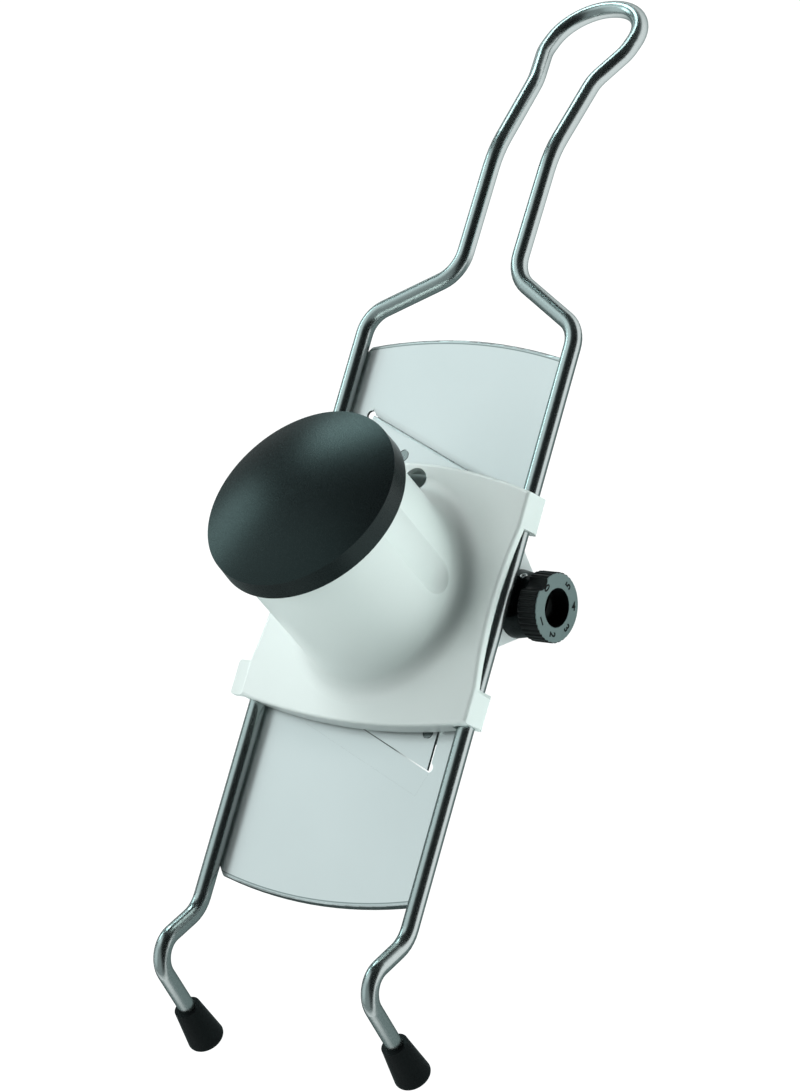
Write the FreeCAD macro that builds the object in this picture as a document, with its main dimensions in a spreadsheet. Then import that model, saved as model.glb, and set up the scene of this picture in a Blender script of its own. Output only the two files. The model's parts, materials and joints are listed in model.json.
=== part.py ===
"""Wire-framed mandoline slicer with a sliding carriage, a food pusher and a thickness dial.

Frame: X across the rails (+X on the dial's side), Y along them (+Y towards the handle), Z up.
The origin is the centre of the whole slicer's box, at its lowest level. Every coordinate in the
functions below is given in the rail frame, whose X = 0 is the symmetry plane and whose Z = 0 is the
plane of the rails' centre lines; put() then moves each piece to the slicer's own origin.
"""
import FreeCAD, Part
import math
import os
import Sketcher
from FreeCAD import Placement, Rotation, Vector

# Driving dimensions, in millimetres and degrees.
SIZES = {
    # Bent wire frame: rails, shoulders, neck, handle loop and legs.
    "wire_dia": 6.0,
    "rail_spacing": 91.0,
    "shoulder_y": 44.6,
    "shoulder_bend": 11.0,
    "neck_x": 12.1,
    "neck_y": 62.9,
    "neck_drop": 0.9,
    "neck_bend": 13.0,
    "stem_x": 12.2,
    "stem_y": 109.0,
    "stem_drop": 1.8,
    "stem_bend": 40.0,
    "throat_x": 12.7,
    "throat_y": 140.5,
    "throat_drop": 12.9,
    "throat_bend": 18.0,
    "loop_x": 17.9,
    "loop_y": 154.5,
    "loop_drop": 19.6,
    "loop_bend": 15.0,
    "crown_x": 17.6,
    "crown_y": 175.2,
    "crown_drop": 29.4,
    "crown_flat": 0.4,
    "leg_bend_y": 172.2,
    "leg_bend": 13.0,
    "leg_peak_y": 192.0,
    "leg_peak_rise": 17.0,
    "leg_peak_bend": 8.8,
    "leg_lean": 26.3,
    "leg_length": 28.4,
    # Foot caps.
    "cap_length": 17.0,
    "cap_mouth_radius": 4.75,
    "cap_foot_radius": 6.5,
    "cap_edge_round": 2.2,
    "cap_insertion": 12.0,
    "cap_facet": 0.35,
    # Tray, its opening and its hinge and blade lines.
    "sheet": 1.0,
    "tray_level": 2.6,
    "tray_edge_gap": 0.1,
    "tray_top_y": 39.0,
    "tray_top_round": 200.0,
    "tray_top_inset": 1.9,
    "tray_top_corner": 2.3,
    "tray_end_y": 163.5,
    "tray_end_round": 190.0,
    "tray_end_inset": 2.6,
    "tray_end_corner": 3.3,
    "tray_lip": 3.0,
    "tray_bend": 0.8,
    "opening_left": 34.5,
    "opening_right": 33.3,
    "diagonal": 20.0,
    "hinge_y": 2.4,
    "feed_length": 93.3,
    "hinge_edge_round": 4.0,
    "hinge_edge_drop": 0.7,
    "platform_edge_round": 1.2,
    "platform_edge_drop": 0.6,
    "relief_radius": 1.7,
    "weld_radius": 1.1,
    "weld_length": 9.0,
    "weld_aside": 0.35,
    "weld_from_top": 18.0,
    "weld_past_ear": 8.0,
    "weld_from_end": 16.0,
    "weld_pitch": 40.0,
    # Feed platform and its hinge.
    "side_gap": 1.1,
    "hinge_gap": 0.3,
    "blade_gap": 0.4,
    "hinge_pin_radius": 1.0,
    "running_gap": 0.05,
    "knuckle_radius": 2.0,
    "knuckle_clear": 0.3,
    "leaf_reach": 12.0,
    "leaf_pitch": 13.7,
    "leaf_span": 14.0,
    "leaf_rivet_inset": 7.0,
    "rib_x": 28.3,
    "rib_width": 7.0,
    "rib_depth": 2.5,
    "rib_sheet": 0.8,
    "rib_rivet_inset": 11.8,
    "rib_end_margin": 3.2,
    "rivet_radius": 1.2,
    "rivet_head_radius": 1.9,
    "rivet_head": 0.4,
    "rivet_tail": 0.8,
    "rivet_ring": 0.25,
    "rivet_skin": 0.3,
    "pad_length": 16.0,
    "pad_stand": 0.5,
    # Blade and its clamp bar.
    "blade_width": 9.0,
    "blade_bevel": 3.0,
    "seat_gap": 0.02,
    "bar_overlap": 7.0,
    "bar_sheet": 1.5,
    "bar_end_margin": 2.0,
    "blade_rivet_pitch": 26.0,
    # Dial, cam shaft and bearings.
    "shaft_y": 49.45,
    "shaft_drop": 13.7,
    "shaft_radius": 2.5,
    "fit_gap": 0.02,
    "cam_width": 5.0,
    "cam_clear": 0.15,
    "cam_hub_radius": 3.8,
    "cam_hub_length": 4.0,
    "cam_pin_radius": 0.75,
    "cam_pin_inset": 0.2,
    "dial_turn": 282.0,
    "slice_max": 5.0,
    "ear_sheet": 1.8,
    "ear_inset": 3.1,
    "ear_round": 11.5,
    "ear_lean": 33.4,
    "ear_flange": 6.5,
    "bush_radius": 4.0,
    "bush_flange_radius": 5.5,
    "bush_flange": 1.0,
    "bush_stand": 1.2,
    "clip_ring_radius": 4.2,
    "clip_ring": 0.8,
    "clip_groove": 0.5,
    "housing_base_radius": 11.7,
    "housing_end_radius": 10.4,
    "housing_pass_gap": 0.5,
    "housing_cavity_radius": 7.5,
    "housing_wall": 1.6,
    "housing_bore_radius": 3.0,
    "housing_screw_radius": 1.2,
    "housing_screw_pitch": 9.2,
    "housing_screw_depth": 2.8,
    "knob_gap": 0.3,
    "knob_pass_gap": 0.3,
    "knob_radius": 12.0,
    "knob_length": 7.8,
    "knob_hole_radius": 6.7,
    "knob_web": 1.6,
    "knob_edge": 0.5,
    "knob_notch_radius": 3.4,
    "knob_notch_reach": 13.1,
    "knob_notch_angle": 65.0,
    "knob_flutes": 36.0,
    "knob_flute_radius": 0.7,
    "screw_head_radius": 3.2,
    "screw_head": 1.6,
    "screw_radius": 1.5,
    "screw_length": 9.0,
    "screw_run_out": 1.0,
    "screw_clear": 0.2,
    "screw_slot": 0.8,
    # Carriage: plate, rail clips, release lugs and food chute.
    "plate_roof": 3.1,
    "plate_sheet": 2.0,
    "plate_side": 3.0,
    "waist_inset": 2.6,
    "plate_top_y": 9.0,
    "plate_top_corner_y": 15.6,
    "plate_end_y": 102.3,
    "plate_end_corner_y": 97.2,
    "plate_edge_round": 1.2,
    "wall_inset": 0.2,
    "clip_wall": 1.7,
    "clip_length": 12.5,
    "clip_bulge": 0.9,
    "clip_hook": 1.7,
    "clip_chamfer": 1.8,
    "clip_lip": 0.5,
    "clip_slope": 2.6,
    "slide_gap": 0.1,
    "lug_overhang": 5.2,
    "lug_sheet": 2.2,
    "chute_radius": 32.5,
    "chute_wall": 2.0,
    "chute_tilt": 16.0,
    "chute_fillet": 7.0,
    "chute_foot": 1.0,
    "peep_y": 16.0,
    "peep_radius": 5.0,
    "flute_radius": 14.0,
    "flute_depth": 2.0,
    "flute_angle": 1.5,
    "flute_end": 41.0,
    # Pusher: cap, cup, prongs and tie screw.
    "cap_y": 41.35,
    "cap_rise": 60.32,
    "disc_radius": 35.5,
    "disc_flare": 0.25,
    "disc_rim": 7.3,
    "disc_dome": 4.8,
    "disc_top": 2.2,
    "disc_skirt": 2.7,
    "disc_rest_gap": 0.3,
    "pusher_gap": 0.3,
    "pusher_wall": 2.0,
    "pusher_level": 1.0,
    "pusher_floor": 3.0,
    "post_radius": 4.0,
    "prong_radius": 0.8,
    "prong_count": 8.0,
    "prong_circle": 18.0,
    "prong_drop": 2.5,
    "prong_root": 2.0,
    # How far a cutting tool runs past what it cuts.
    "tool_reach": 20.0,
}


class Size:
    """A length or angle: its value, and the sheet expression that gives it."""

    def __init__(self, value, text):
        self.value = float(value)
        self.text = text

    def __add__(self, other):
        other = as_size(other)
        return Size(self.value + other.value, f"({self.text} + {other.text})")

    def __radd__(self, other):
        return as_size(other) + self

    def __sub__(self, other):
        other = as_size(other)
        return Size(self.value - other.value, f"({self.text} - {other.text})")

    def __rsub__(self, other):
        return as_size(other) - self

    def __mul__(self, other):
        other = as_size(other)
        return Size(self.value * other.value, f"({self.text} * {other.text})")

    def __rmul__(self, other):
        return as_size(other) * self

    def __truediv__(self, other):
        other = as_size(other)
        return Size(self.value / other.value, f"({self.text} / {other.text})")

    def __neg__(self):
        return Size(-self.value, f"(-{self.text})")


def as_size(number):
    """A plain number as a Size."""
    return number if isinstance(number, Size) else Size(number, str(float(number)))


def sine(angle):
    return Size(math.sin(math.radians(angle.value)), f"sin({angle.text} * 1 deg)")


def cosine(angle):
    return Size(math.cos(math.radians(angle.value)), f"cos({angle.text} * 1 deg)")


def tangent(angle):
    return Size(math.tan(math.radians(angle.value)), f"tan({angle.text} * 1 deg)")


def root(size):
    return Size(math.sqrt(size.value), f"sqrt({size.text})")


class Sheet:
    """The spreadsheet of driving dimensions, read as attributes."""

    def __init__(self, document):
        cells = document.addObject("Spreadsheet::Sheet", "sizes")
        for row, (alias, value) in enumerate(SIZES.items(), start=1):
            cells.set(f"A{row}", alias)
            cells.set(f"B{row}", str(value))
            cells.setAlias(f"B{row}", alias)
            setattr(self, alias, Size(value, f"sizes.{alias}"))


DOC = FreeCAD.newDocument("mandoline_slicer")
S = Sheet(DOC)
DOC.recompute()

WIRE = S.wire_dia / 2
RAIL_X = S.rail_spacing / 2
SHEET_TOP = -S.tray_level
SHEET_BOTTOM = -S.tray_level - S.sheet
TRAY_EDGE = RAIL_X - root(WIRE * WIRE - S.tray_level * S.tray_level) - S.tray_edge_gap
BLADE_LINE = -S.hinge_y - S.feed_length / cosine(S.diagonal)
HINGE_LEVEL = SHEET_BOTTOM - S.knuckle_clear - S.knuckle_radius
SHAFT_Y = -S.shaft_y
SHAFT_Z = -S.shaft_drop
EAR_X = RAIL_X - S.ear_inset
EAR_TOP = SHEET_BOTTOM - SHAFT_Z
EAR_HALF = (S.ear_round + EAR_TOP * sine(S.ear_lean)) / cosine(S.ear_lean)
PAD_BOTTOM = SHEET_BOTTOM - S.rib_depth - S.pad_stand
CAM_TOP = PAD_BOTTOM - SHAFT_Z - S.cam_clear
PLATE_TOP = WIRE + S.slide_gap + S.plate_roof
PLATE_HALF = RAIL_X + WIRE + S.clip_wall - S.clip_bulge
PLATE_WAIST = PLATE_HALF - S.waist_inset
PLATE_WALL = RAIL_X - WIRE - S.slide_gap - S.wall_inset
CLIP_DEPTH = WIRE + S.slide_gap + S.clip_hook
LUG_REACH = PLATE_HALF + S.lug_overhang
KNOB_BACK = PLATE_HALF + S.clip_bulge + S.knob_pass_gap
HOUSING_END = KNOB_BACK - S.knob_gap
DIAL_FACE = KNOB_BACK + S.knob_length
CUP_RADIUS = S.chute_radius - S.chute_wall - S.pusher_gap

# The slicer's own origin, in the rail frame.
CAP_MOUTH_Y = -S.leg_peak_y - S.leg_length * sine(S.leg_lean)
CAP_MOUTH_Z = S.leg_peak_rise - S.leg_length * cosine(S.leg_lean)
FOOT_END = (CAP_MOUTH_Y - (S.cap_length - S.cap_edge_round) * sine(S.leg_lean)
            - (S.cap_foot_radius - S.cap_edge_round) * cosine(S.leg_lean) - S.cap_edge_round)
CENTRE_X = (DIAL_FACE - LUG_REACH) / 2
CENTRE_Y = (S.crown_y + WIRE + FOOT_END) / 2
FLOOR_Z = -S.crown_drop - WIRE

SUBPARTS = []


def put(piece, label, x=0, y=0, z=0, axis=Vector(0, 0, 1), turn=0, moved=True):
    """Name a finished sub-part and set its place, given in the rail frame."""
    turn = as_size(turn)
    spot = [as_size(x), as_size(y), as_size(z)]
    if moved:
        spot = [spot[0] - CENTRE_X, spot[1] - CENTRE_Y, spot[2] - FLOOR_Z]
        piece.Label = label
        SUBPARTS.append(piece)
    piece.Placement = Placement(Vector(*[c.value for c in spot]), Rotation(axis, turn.value))
    for letter, coordinate in zip("xyz", spot):
        piece.setExpression(f"Placement.Base.{letter}", coordinate.text)
    return piece


def bind(piece, **sizes):
    """Bind a primitive's properties to the sheet."""
    for key, size in sizes.items():
        size = as_size(size)
        setattr(piece, key, size.value)
        piece.setExpression(key, size.text)
    return piece


def box(x0, x1, y0, y1, z0, z1):
    """A box between two corners."""
    piece = DOC.addObject("Part::Box", "box")
    x0, x1, y0, y1, z0, z1 = [as_size(v) for v in (x0, x1, y0, y1, z0, z1)]
    bind(piece, Length=x1 - x0, Width=y1 - y0, Height=z1 - z0)
    return put(piece, "", x0, y0, z0, moved=False)


def rod(radius, start, length, along="z", x=0, y=0, z=0):
    """A cylinder along one axis, from its start for its length."""
    piece = DOC.addObject("Part::Cylinder", "rod")
    bind(piece, Radius=radius, Height=length)
    if along == "x":
        return put(piece, "", start, y, z, Vector(0, 1, 0), 90, moved=False)
    if along == "y":
        return put(piece, "", x, start, z, Vector(1, 0, 0), -90, moved=False)
    return put(piece, "", x, y, start, moved=False)


def fuse(pieces):
    joined = DOC.addObject("Part::MultiFuse", "fuse")
    joined.Shapes = pieces
    joined.Refine = True
    return joined


def cut(base, tools):
    result = DOC.addObject("Part::Cut", "cut")
    result.Base = base
    result.Tool = tools[0] if len(tools) == 1 else fuse(tools)
    return result


def group(pieces):
    """Identical pieces as separate solids of one sub-part."""
    compound = DOC.addObject("Part::Compound", "group")
    compound.Links = pieces
    return compound


def plane_of(body, role):
    return next(item for item in body.Origin.OriginFeatures if item.Role == role)


def sketch_on(body, role, offset=0):
    """A sketch on one of a body's own origin planes, lifted along its normal."""
    offset = as_size(offset)
    sketch = body.newObject("Sketcher::SketchObject", "sketch")
    sketch.AttachmentSupport = (plane_of(body, role), [""])
    sketch.MapMode = "FlatFace"
    sketch.AttachmentOffset = Placement(Vector(0, 0, offset.value), Rotation())
    sketch.setExpression("AttachmentOffset.Base.z", offset.text)
    return sketch


def hold_point(sketch, geometry, corner, place):
    """Fix a sketch point to the sketch's origin by two bound distances."""
    for kind, axis, size in (("DistanceX", -2, place[0]), ("DistanceY", -1, place[1])):
        if abs(size.value) < 1e-9:
            sketch.addConstraint(Sketcher.Constraint("PointOnObject", geometry, corner, axis))
            continue
        index = sketch.addConstraint(Sketcher.Constraint(kind, -1, 1, geometry, corner, size.value))
        sketch.setExpression(f"Constraints[{index}]", size.text)


def arc_between(start, end, radius):
    """Circle arc from start to end: a positive radius bulges out of a left-turning outline."""
    a, b = (end, start) if radius < 0 else (start, end)
    chord = b - a
    height = math.sqrt(radius * radius - chord.Length * chord.Length / 4)
    left = Vector(-chord.y, chord.x, 0).normalize()
    centre = (a + b) / 2 + left * height
    angles = [math.atan2(p.y - centre.y, p.x - centre.x) for p in (a, b)]
    if angles[1] < angles[0]:
        angles[1] += 2 * math.pi
    circle = Part.Circle(centre, Vector(0, 0, 1), abs(radius))
    return Part.ArcOfCircle(circle, angles[0], angles[1])


def outline(sketch, points, arcs=None):
    """Close an outline through points; arcs gives some sides, by number, a radius."""
    arcs = arcs or {}
    places = [(as_size(x), as_size(y)) for x, y in points]
    corners = [Vector(x.value, y.value, 0) for x, y in places]
    ends = []
    for side, start in enumerate(corners):
        end = corners[(side + 1) % len(corners)]
        if side in arcs:
            radius = as_size(arcs[side])
            geometry = sketch.addGeometry(arc_between(start, end, radius.value))
            size = radius if radius.value > 0 else -radius
            index = sketch.addConstraint(Sketcher.Constraint("Radius", geometry, size.value))
            sketch.setExpression(f"Constraints[{index}]", size.text)
            ends.append((geometry, 2, 1) if radius.value < 0 else (geometry, 1, 2))
        else:
            ends.append((sketch.addGeometry(Part.LineSegment(start, end)), 1, 2))
    for side, (geometry, first, _) in enumerate(ends):
        before, _, last = ends[side - 1]
        sketch.addConstraint(Sketcher.Constraint("Coincident", before, last, geometry, first))
        hold_point(sketch, geometry, first, places[side])


def circle(sketch, x, y, radius):
    """A full circle in a sketch."""
    x, y, radius = as_size(x), as_size(y), as_size(radius)
    centre = Vector(x.value, y.value, 0)
    geometry = sketch.addGeometry(Part.Circle(centre, Vector(0, 0, 1), radius.value))
    hold_point(sketch, geometry, 3, (x, y))
    index = sketch.addConstraint(Sketcher.Constraint("Radius", geometry, radius.value))
    sketch.setExpression(f"Constraints[{index}]", radius.text)


def new_body(name):
    return DOC.addObject("PartDesign::Body", name)


def pad(body, sketch, length, reversed_side=False):
    feature = body.newObject("PartDesign::Pad", "pad")
    feature.Profile = sketch
    bind(feature, Length=length)
    feature.Reversed = reversed_side
    DOC.recompute()
    return feature


def pocket(body, sketch, length, reversed_side=False):
    """Cut a sketch out of a body, and make sure that something was cut."""
    before = body.Shape.Volume
    feature = body.newObject("PartDesign::Pocket", "pocket")
    feature.Profile = sketch
    bind(feature, Length=length)
    feature.Reversed = reversed_side
    DOC.recompute()
    if body.Shape.Volume > before - 1e-6:
        raise RuntimeError(f"a pocket of {body.Name} cuts nothing")
    return feature


def turned(name, points, arcs=None):
    """A body of revolution about its own Z, from an outline of (radius, height) points."""
    body = new_body(name)
    sketch = sketch_on(body, "XZ_Plane")
    outline(sketch, points, arcs)
    feature = body.newObject("PartDesign::Revolution", "revolution")
    feature.Profile = sketch
    feature.ReferenceAxis = (sketch, ["V_Axis"])
    feature.Angle = 360
    DOC.recompute()
    return body


def round_edges(body, radius, wanted):
    """Round the edges of a body that a test picks out."""
    base = body.Tip
    names = [f"Edge{number}" for number, edge in enumerate(base.Shape.Edges, start=1)
             if wanted(edge)]
    if not names:
        raise RuntimeError(f"no edge of {body.Name} to round")
    feature = body.newObject("PartDesign::Fillet", "fillet")
    feature.Base = (base, names)
    bind(feature, Radius=radius)
    DOC.recompute()
    return feature


def edge_waste(start, end, side, radius, drop, line_y):
    """Waste over a rounded-down sheet edge on a diagonal line; side 1 has its metal on +Y."""
    width = root(drop * (radius * 2 - drop))
    y0, y1 = (0, width) if side > 0 else (-width, 0)
    block = box(start, end, y0, y1, SHEET_TOP - drop, SHEET_TOP + S.sheet)
    barrel = rod(radius, start, end - start, "x", y=side * width, z=SHEET_TOP - radius)
    waste = cut(block, [barrel])
    put(waste, "", 0, line_y, 0, Vector(0, 0, 1), -S.diagonal, moved=False)
    waste.setExpression("Placement.Rotation.Angle", f"(-{S.diagonal.text}) * 1 deg")
    return waste


def along_diagonal(along, across, line_y):
    """Rail-frame X and Y of a point given along and across a diagonal line through (0, line_y)."""
    along, across = as_size(along), as_size(across)
    x = along * cosine(S.diagonal) + across * sine(S.diagonal)
    y = line_y - along * sine(S.diagonal) + across * cosine(S.diagonal)
    return x, y


def line_height(x, line_y):
    """Y of a diagonal line at X."""
    return line_y - as_size(x) * tangent(S.diagonal)


# ---------------------------------------------------------------- wire frame and feet

def bent_path(corners, bends):
    """Straight runs through corners, joined by tangent arcs of the given radii."""
    edges = []
    start = corners[0]
    for before, corner, after, radius in zip(corners, corners[1:], corners[2:], bends):
        enter = (corner - before).normalize()
        leave = (after - corner).normalize()
        reach = radius * math.tan(enter.getAngle(leave) / 2)
        first = corner - enter * reach
        last = corner + leave * reach
        inward = (leave - enter).normalize()
        centre_distance = math.hypot(radius, reach)
        middle = corner + inward * (centre_distance - radius)
        edges.append(Part.LineSegment(start, first).toShape())
        edges.append(Part.Arc(first, middle, last).toShape())
        start = last
    edges.append(Part.LineSegment(start, corners[-1]).toShape())
    return Part.Wire(edges)


def wire_frame():
    """One steel wire: right leg, rail, shoulder, handle loop, and back down the left side."""
    end_y = CAP_MOUTH_Y - S.cap_insertion * sine(S.leg_lean)
    end_z = CAP_MOUTH_Z - S.cap_insertion * cosine(S.leg_lean)
    stations = [
        (RAIL_X, end_y, end_z),
        (RAIL_X, -S.leg_peak_y, S.leg_peak_rise),
        (RAIL_X, -S.leg_bend_y, as_size(0)),
        (RAIL_X, S.shoulder_y, as_size(0)),
        (S.neck_x, S.neck_y, -S.neck_drop),
        (S.stem_x, S.stem_y, -S.stem_drop),
        (S.throat_x, S.throat_y, -S.throat_drop),
        (S.loop_x, S.loop_y, -S.loop_drop),
        (S.crown_x, S.crown_y, -S.crown_drop),
    ]
    crown_bend = S.crown_x.value - S.crown_flat.value / 2
    bends = [size.value for size in (S.leg_peak_bend, S.leg_bend, S.shoulder_bend, S.neck_bend,
                                     S.stem_bend, S.throat_bend, S.loop_bend)] + [crown_bend]
    right = [Vector(*[c.value for c in station]) for station in stations]
    left = [Vector(-p.x, p.y, p.z) for p in reversed(right)]
    spine = DOC.addObject("Part::Feature", "wire_path")
    spine.Shape = bent_path(right + left, bends + bends[::-1])
    section = DOC.addObject("Part::Circle", "wire_section")
    bind(section, Radius=WIRE)
    direction = right[1] - right[0]
    section.Placement = Placement(right[0], Rotation(Vector(0, 0, 1), direction))
    sweep = DOC.addObject("Part::Sweep", "wire_sweep")
    sweep.Sections = [section]
    sweep.Spine = (spine, [])
    sweep.Solid = True
    sweep.Frenet = False
    DOC.recompute()
    expected = math.pi * WIRE.value ** 2 * spine.Shape.Length
    print(f"wire volume {sweep.Shape.Volume:.0f}, section times length {expected:.0f}")
    put(sweep, "wire_frame")


def foot_cap(label, side):
    """Rubber cap pushed on a leg, with a small facet worn flat by the surface it stands on."""
    depth = S.cap_insertion
    bore = WIRE + S.fit_gap
    edge = S.cap_edge_round
    points = [
        (bore, 0),
        (S.cap_mouth_radius, 0),
        (S.cap_foot_radius, S.cap_length - edge),
        (S.cap_foot_radius - edge, S.cap_length),
        (0, S.cap_length),
        (0, depth),
        (bore, depth),
    ]
    body = turned(label + "_body", points, {2: edge})
    put(body, "", side * RAIL_X, CAP_MOUTH_Y, CAP_MOUTH_Z, Vector(1, 0, 0), 180 - S.leg_lean,
        moved=False)
    body.setExpression("Placement.Rotation.Angle", f"(180 - {S.leg_lean.text}) * 1 deg")
    corner_y = CAP_MOUTH_Y - (S.cap_length - edge) * sine(S.leg_lean)
    corner_z = CAP_MOUTH_Z - (S.cap_length - edge) * cosine(S.leg_lean)
    ring = S.cap_foot_radius - edge
    low_y = corner_y + ring * cosine(S.leg_lean)
    low_z = corner_z - ring * sine(S.leg_lean) - edge + S.cap_facet
    reach = S.cap_length
    ground = box(-reach, reach, -reach, reach, -reach, 0)
    crown_low_y = S.crown_y.value
    crown_low_z = FLOOR_Z.value
    lean = math.degrees(math.atan2(low_z.value - crown_low_z, crown_low_y - low_y.value))
    floor = Placement(Vector(side * RAIL_X.value, low_y.value, low_z.value),
                      Rotation(Vector(1, 0, 0), -lean))
    facet = DOC.addObject("Part::Feature", label + "_ground")
    tool = ground.Shape.copy()
    tool.Placement = floor.multiply(ground.Placement)
    facet.Shape = tool
    DOC.removeObject(ground.Name)
    put(cut(body, [facet]), label)


# ---------------------------------------------------------------- tray and blade

def diagonal_rectangle(along0, along1, across0, across1, line_y):
    """Corners of a rectangle that lies along a diagonal line."""
    spots = [(along0, across0), (along1, across0), (along1, across1), (along0, across1)]
    return [along_diagonal(along, across, line_y) for along, across in spots]


def blade_span():
    """Start and end of the blade along its diagonal."""
    return -S.opening_left / cosine(S.diagonal), S.opening_right / cosine(S.diagonal)


def tray():
    body = new_body("tray_sheet")
    top_x = TRAY_EDGE - S.tray_top_inset
    end_x = TRAY_EDGE - S.tray_end_inset
    corner_y = S.tray_top_round - root(S.tray_top_round * S.tray_top_round - top_x * top_x)
    end_corner = S.tray_end_round - root(S.tray_end_round * S.tray_end_round - end_x * end_x)
    top_y = S.tray_top_y - corner_y
    end_y = -S.tray_end_y + end_corner
    sketch = sketch_on(body, "XY_Plane", SHEET_BOTTOM)
    points = [
        (-end_x, end_y),
        (end_x, end_y),
        (TRAY_EDGE, end_y + S.tray_end_corner),
        (TRAY_EDGE, top_y - S.tray_top_corner),
        (top_x, top_y),
        (-top_x, top_y),
        (-TRAY_EDGE, top_y - S.tray_top_corner),
        (-TRAY_EDGE, end_y + S.tray_end_corner),
    ]
    outline(sketch, points, {0: S.tray_end_round, 4: S.tray_top_round})
    pad(body, sketch, S.sheet)
    for x, y, radius, inward in ((top_x, top_y, S.tray_top_round, -S.sheet),
                                 (end_x, end_y, S.tray_end_round, S.sheet)):
        lip = sketch_on(body, "XY_Plane", SHEET_TOP - S.tray_lip)
        if inward.value < 0:
            outline(lip, [(x, y), (-x, y), (-x, y + inward), (x, y + inward)],
                    {0: radius, 2: -radius})
        else:
            outline(lip, [(-x, y), (x, y), (x, y + inward), (-x, y + inward)],
                    {0: radius, 2: -radius})
        pad(body, lip, S.tray_lip - S.sheet / 2)
    round_edges(body, S.tray_bend, lambda edge: edge.BoundBox.XLength > top_x.value
                and edge.BoundBox.ZMin > SHEET_TOP.value - S.sheet.value / 4)
    left, right = -S.opening_left, S.opening_right
    window = sketch_on(body, "XY_Plane", SHEET_TOP)
    outline(window, [
        (left, line_height(left, BLADE_LINE) - S.seat_gap),
        (right, line_height(right, BLADE_LINE) - S.seat_gap),
        (right, line_height(right, -S.hinge_y)),
        (left, line_height(left, -S.hinge_y)),
    ])
    pocket(body, window, S.sheet)
    start, end = blade_span()
    seat = sketch_on(body, "XY_Plane", SHEET_TOP)
    outline(seat, diagonal_rectangle(start - S.seat_gap, end + S.seat_gap,
                                     -S.blade_width - S.seat_gap, S.seat_gap, BLADE_LINE))
    pocket(body, seat, S.sheet)
    relief = sketch_on(body, "XY_Plane", SHEET_TOP)
    circle(relief, left, line_height(left, -S.hinge_y) - S.relief_radius / 2, S.relief_radius)
    right_relief = right - S.relief_radius * sine(S.diagonal)
    circle(relief, right_relief, line_height(right, BLADE_LINE) + S.relief_radius,
           S.relief_radius)
    pocket(body, relief, S.sheet)
    holes = sketch_on(body, "XY_Plane", SHEET_BOTTOM)
    for along in (-S.blade_rivet_pitch, as_size(0), S.blade_rivet_pitch):
        x, y = along_diagonal(along, -S.blade_width - S.bar_overlap / 2, BLADE_LINE)
        circle(holes, x, y, S.rivet_radius + S.running_gap)
    pocket(body, holes, S.sheet - S.rivet_skin, reversed_side=True)
    start, end = blade_span()
    waste = edge_waste(start, end, 1, S.hinge_edge_round, S.hinge_edge_drop, -S.hinge_y)
    put(cut(body, [waste]), "tray")


def tray_welds():
    """Short weld beads that join the tray's underside to the rails."""
    beads = []
    for side in (-1, 1):
        for y in (S.tray_top_y - S.weld_from_top, SHAFT_Y + EAR_HALF + S.weld_past_ear,
                  -S.tray_end_y + S.weld_from_end + S.weld_pitch,
                  -S.tray_end_y + S.weld_from_end):
            beads.append(rod(S.weld_radius, y, S.weld_length, "y", x=side * (TRAY_EDGE + S.weld_aside),
                             z=SHEET_BOTTOM - S.weld_radius / 4))
    put(group(beads), "tray_welds")


def blade():
    """Hardened strip, flush with the tray, with its bevel ground on the underside."""
    body = new_body("blade")
    start, end = blade_span()
    sketch = sketch_on(body, "YZ_Plane", start)
    outline(sketch, [
        (0, SHEET_TOP),
        (-S.blade_width, SHEET_TOP),
        (-S.blade_width, SHEET_BOTTOM),
        (-S.blade_bevel, SHEET_BOTTOM),
    ])
    pad(body, sketch, end - start)
    holes = sketch_on(body, "XY_Plane", SHEET_BOTTOM)
    for along in (-S.blade_rivet_pitch, as_size(0), S.blade_rivet_pitch):
        circle(holes, along, -(S.blade_width + S.blade_bevel) / 2, S.rivet_radius + S.running_gap)
    pocket(body, holes, S.sheet - S.rivet_skin, reversed_side=True)
    put(body, "blade", 0, BLADE_LINE, 0, Vector(0, 0, 1), -S.diagonal)
    body.setExpression("Placement.Rotation.Angle", f"(-{S.diagonal.text}) * 1 deg")


def blade_rivet_places():
    """Places of the blade's rivets along and behind its edge."""
    rows = (-(S.blade_width + S.blade_bevel) / 2, -S.blade_width - S.bar_overlap / 2)
    return [(along, across) for across in rows
            for along in (-S.blade_rivet_pitch, as_size(0), S.blade_rivet_pitch)]


def blade_clamp_bar():
    """Bar under the blade and the tray's edge, which joins them."""
    body = new_body("blade_clamp_bar")
    start, end = blade_span()
    sketch = sketch_on(body, "XY_Plane", SHEET_BOTTOM)
    x0, x1 = start + S.bar_end_margin, end - S.bar_end_margin
    y0, y1 = -S.blade_width - S.bar_overlap, -S.blade_bevel - S.blade_gap
    outline(sketch, [(x0, y0), (x1, y0), (x1, y1), (x0, y1)])
    pad(body, sketch, S.bar_sheet, reversed_side=True)
    holes = sketch_on(body, "XY_Plane", SHEET_BOTTOM)
    for along, across in blade_rivet_places():
        circle(holes, along, across, S.rivet_radius + S.running_gap)
    pocket(body, holes, S.bar_sheet)
    put(body, "blade_clamp_bar", 0, BLADE_LINE, 0, Vector(0, 0, 1), -S.diagonal)
    body.setExpression("Placement.Rotation.Angle", f"(-{S.diagonal.text}) * 1 deg")


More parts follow.
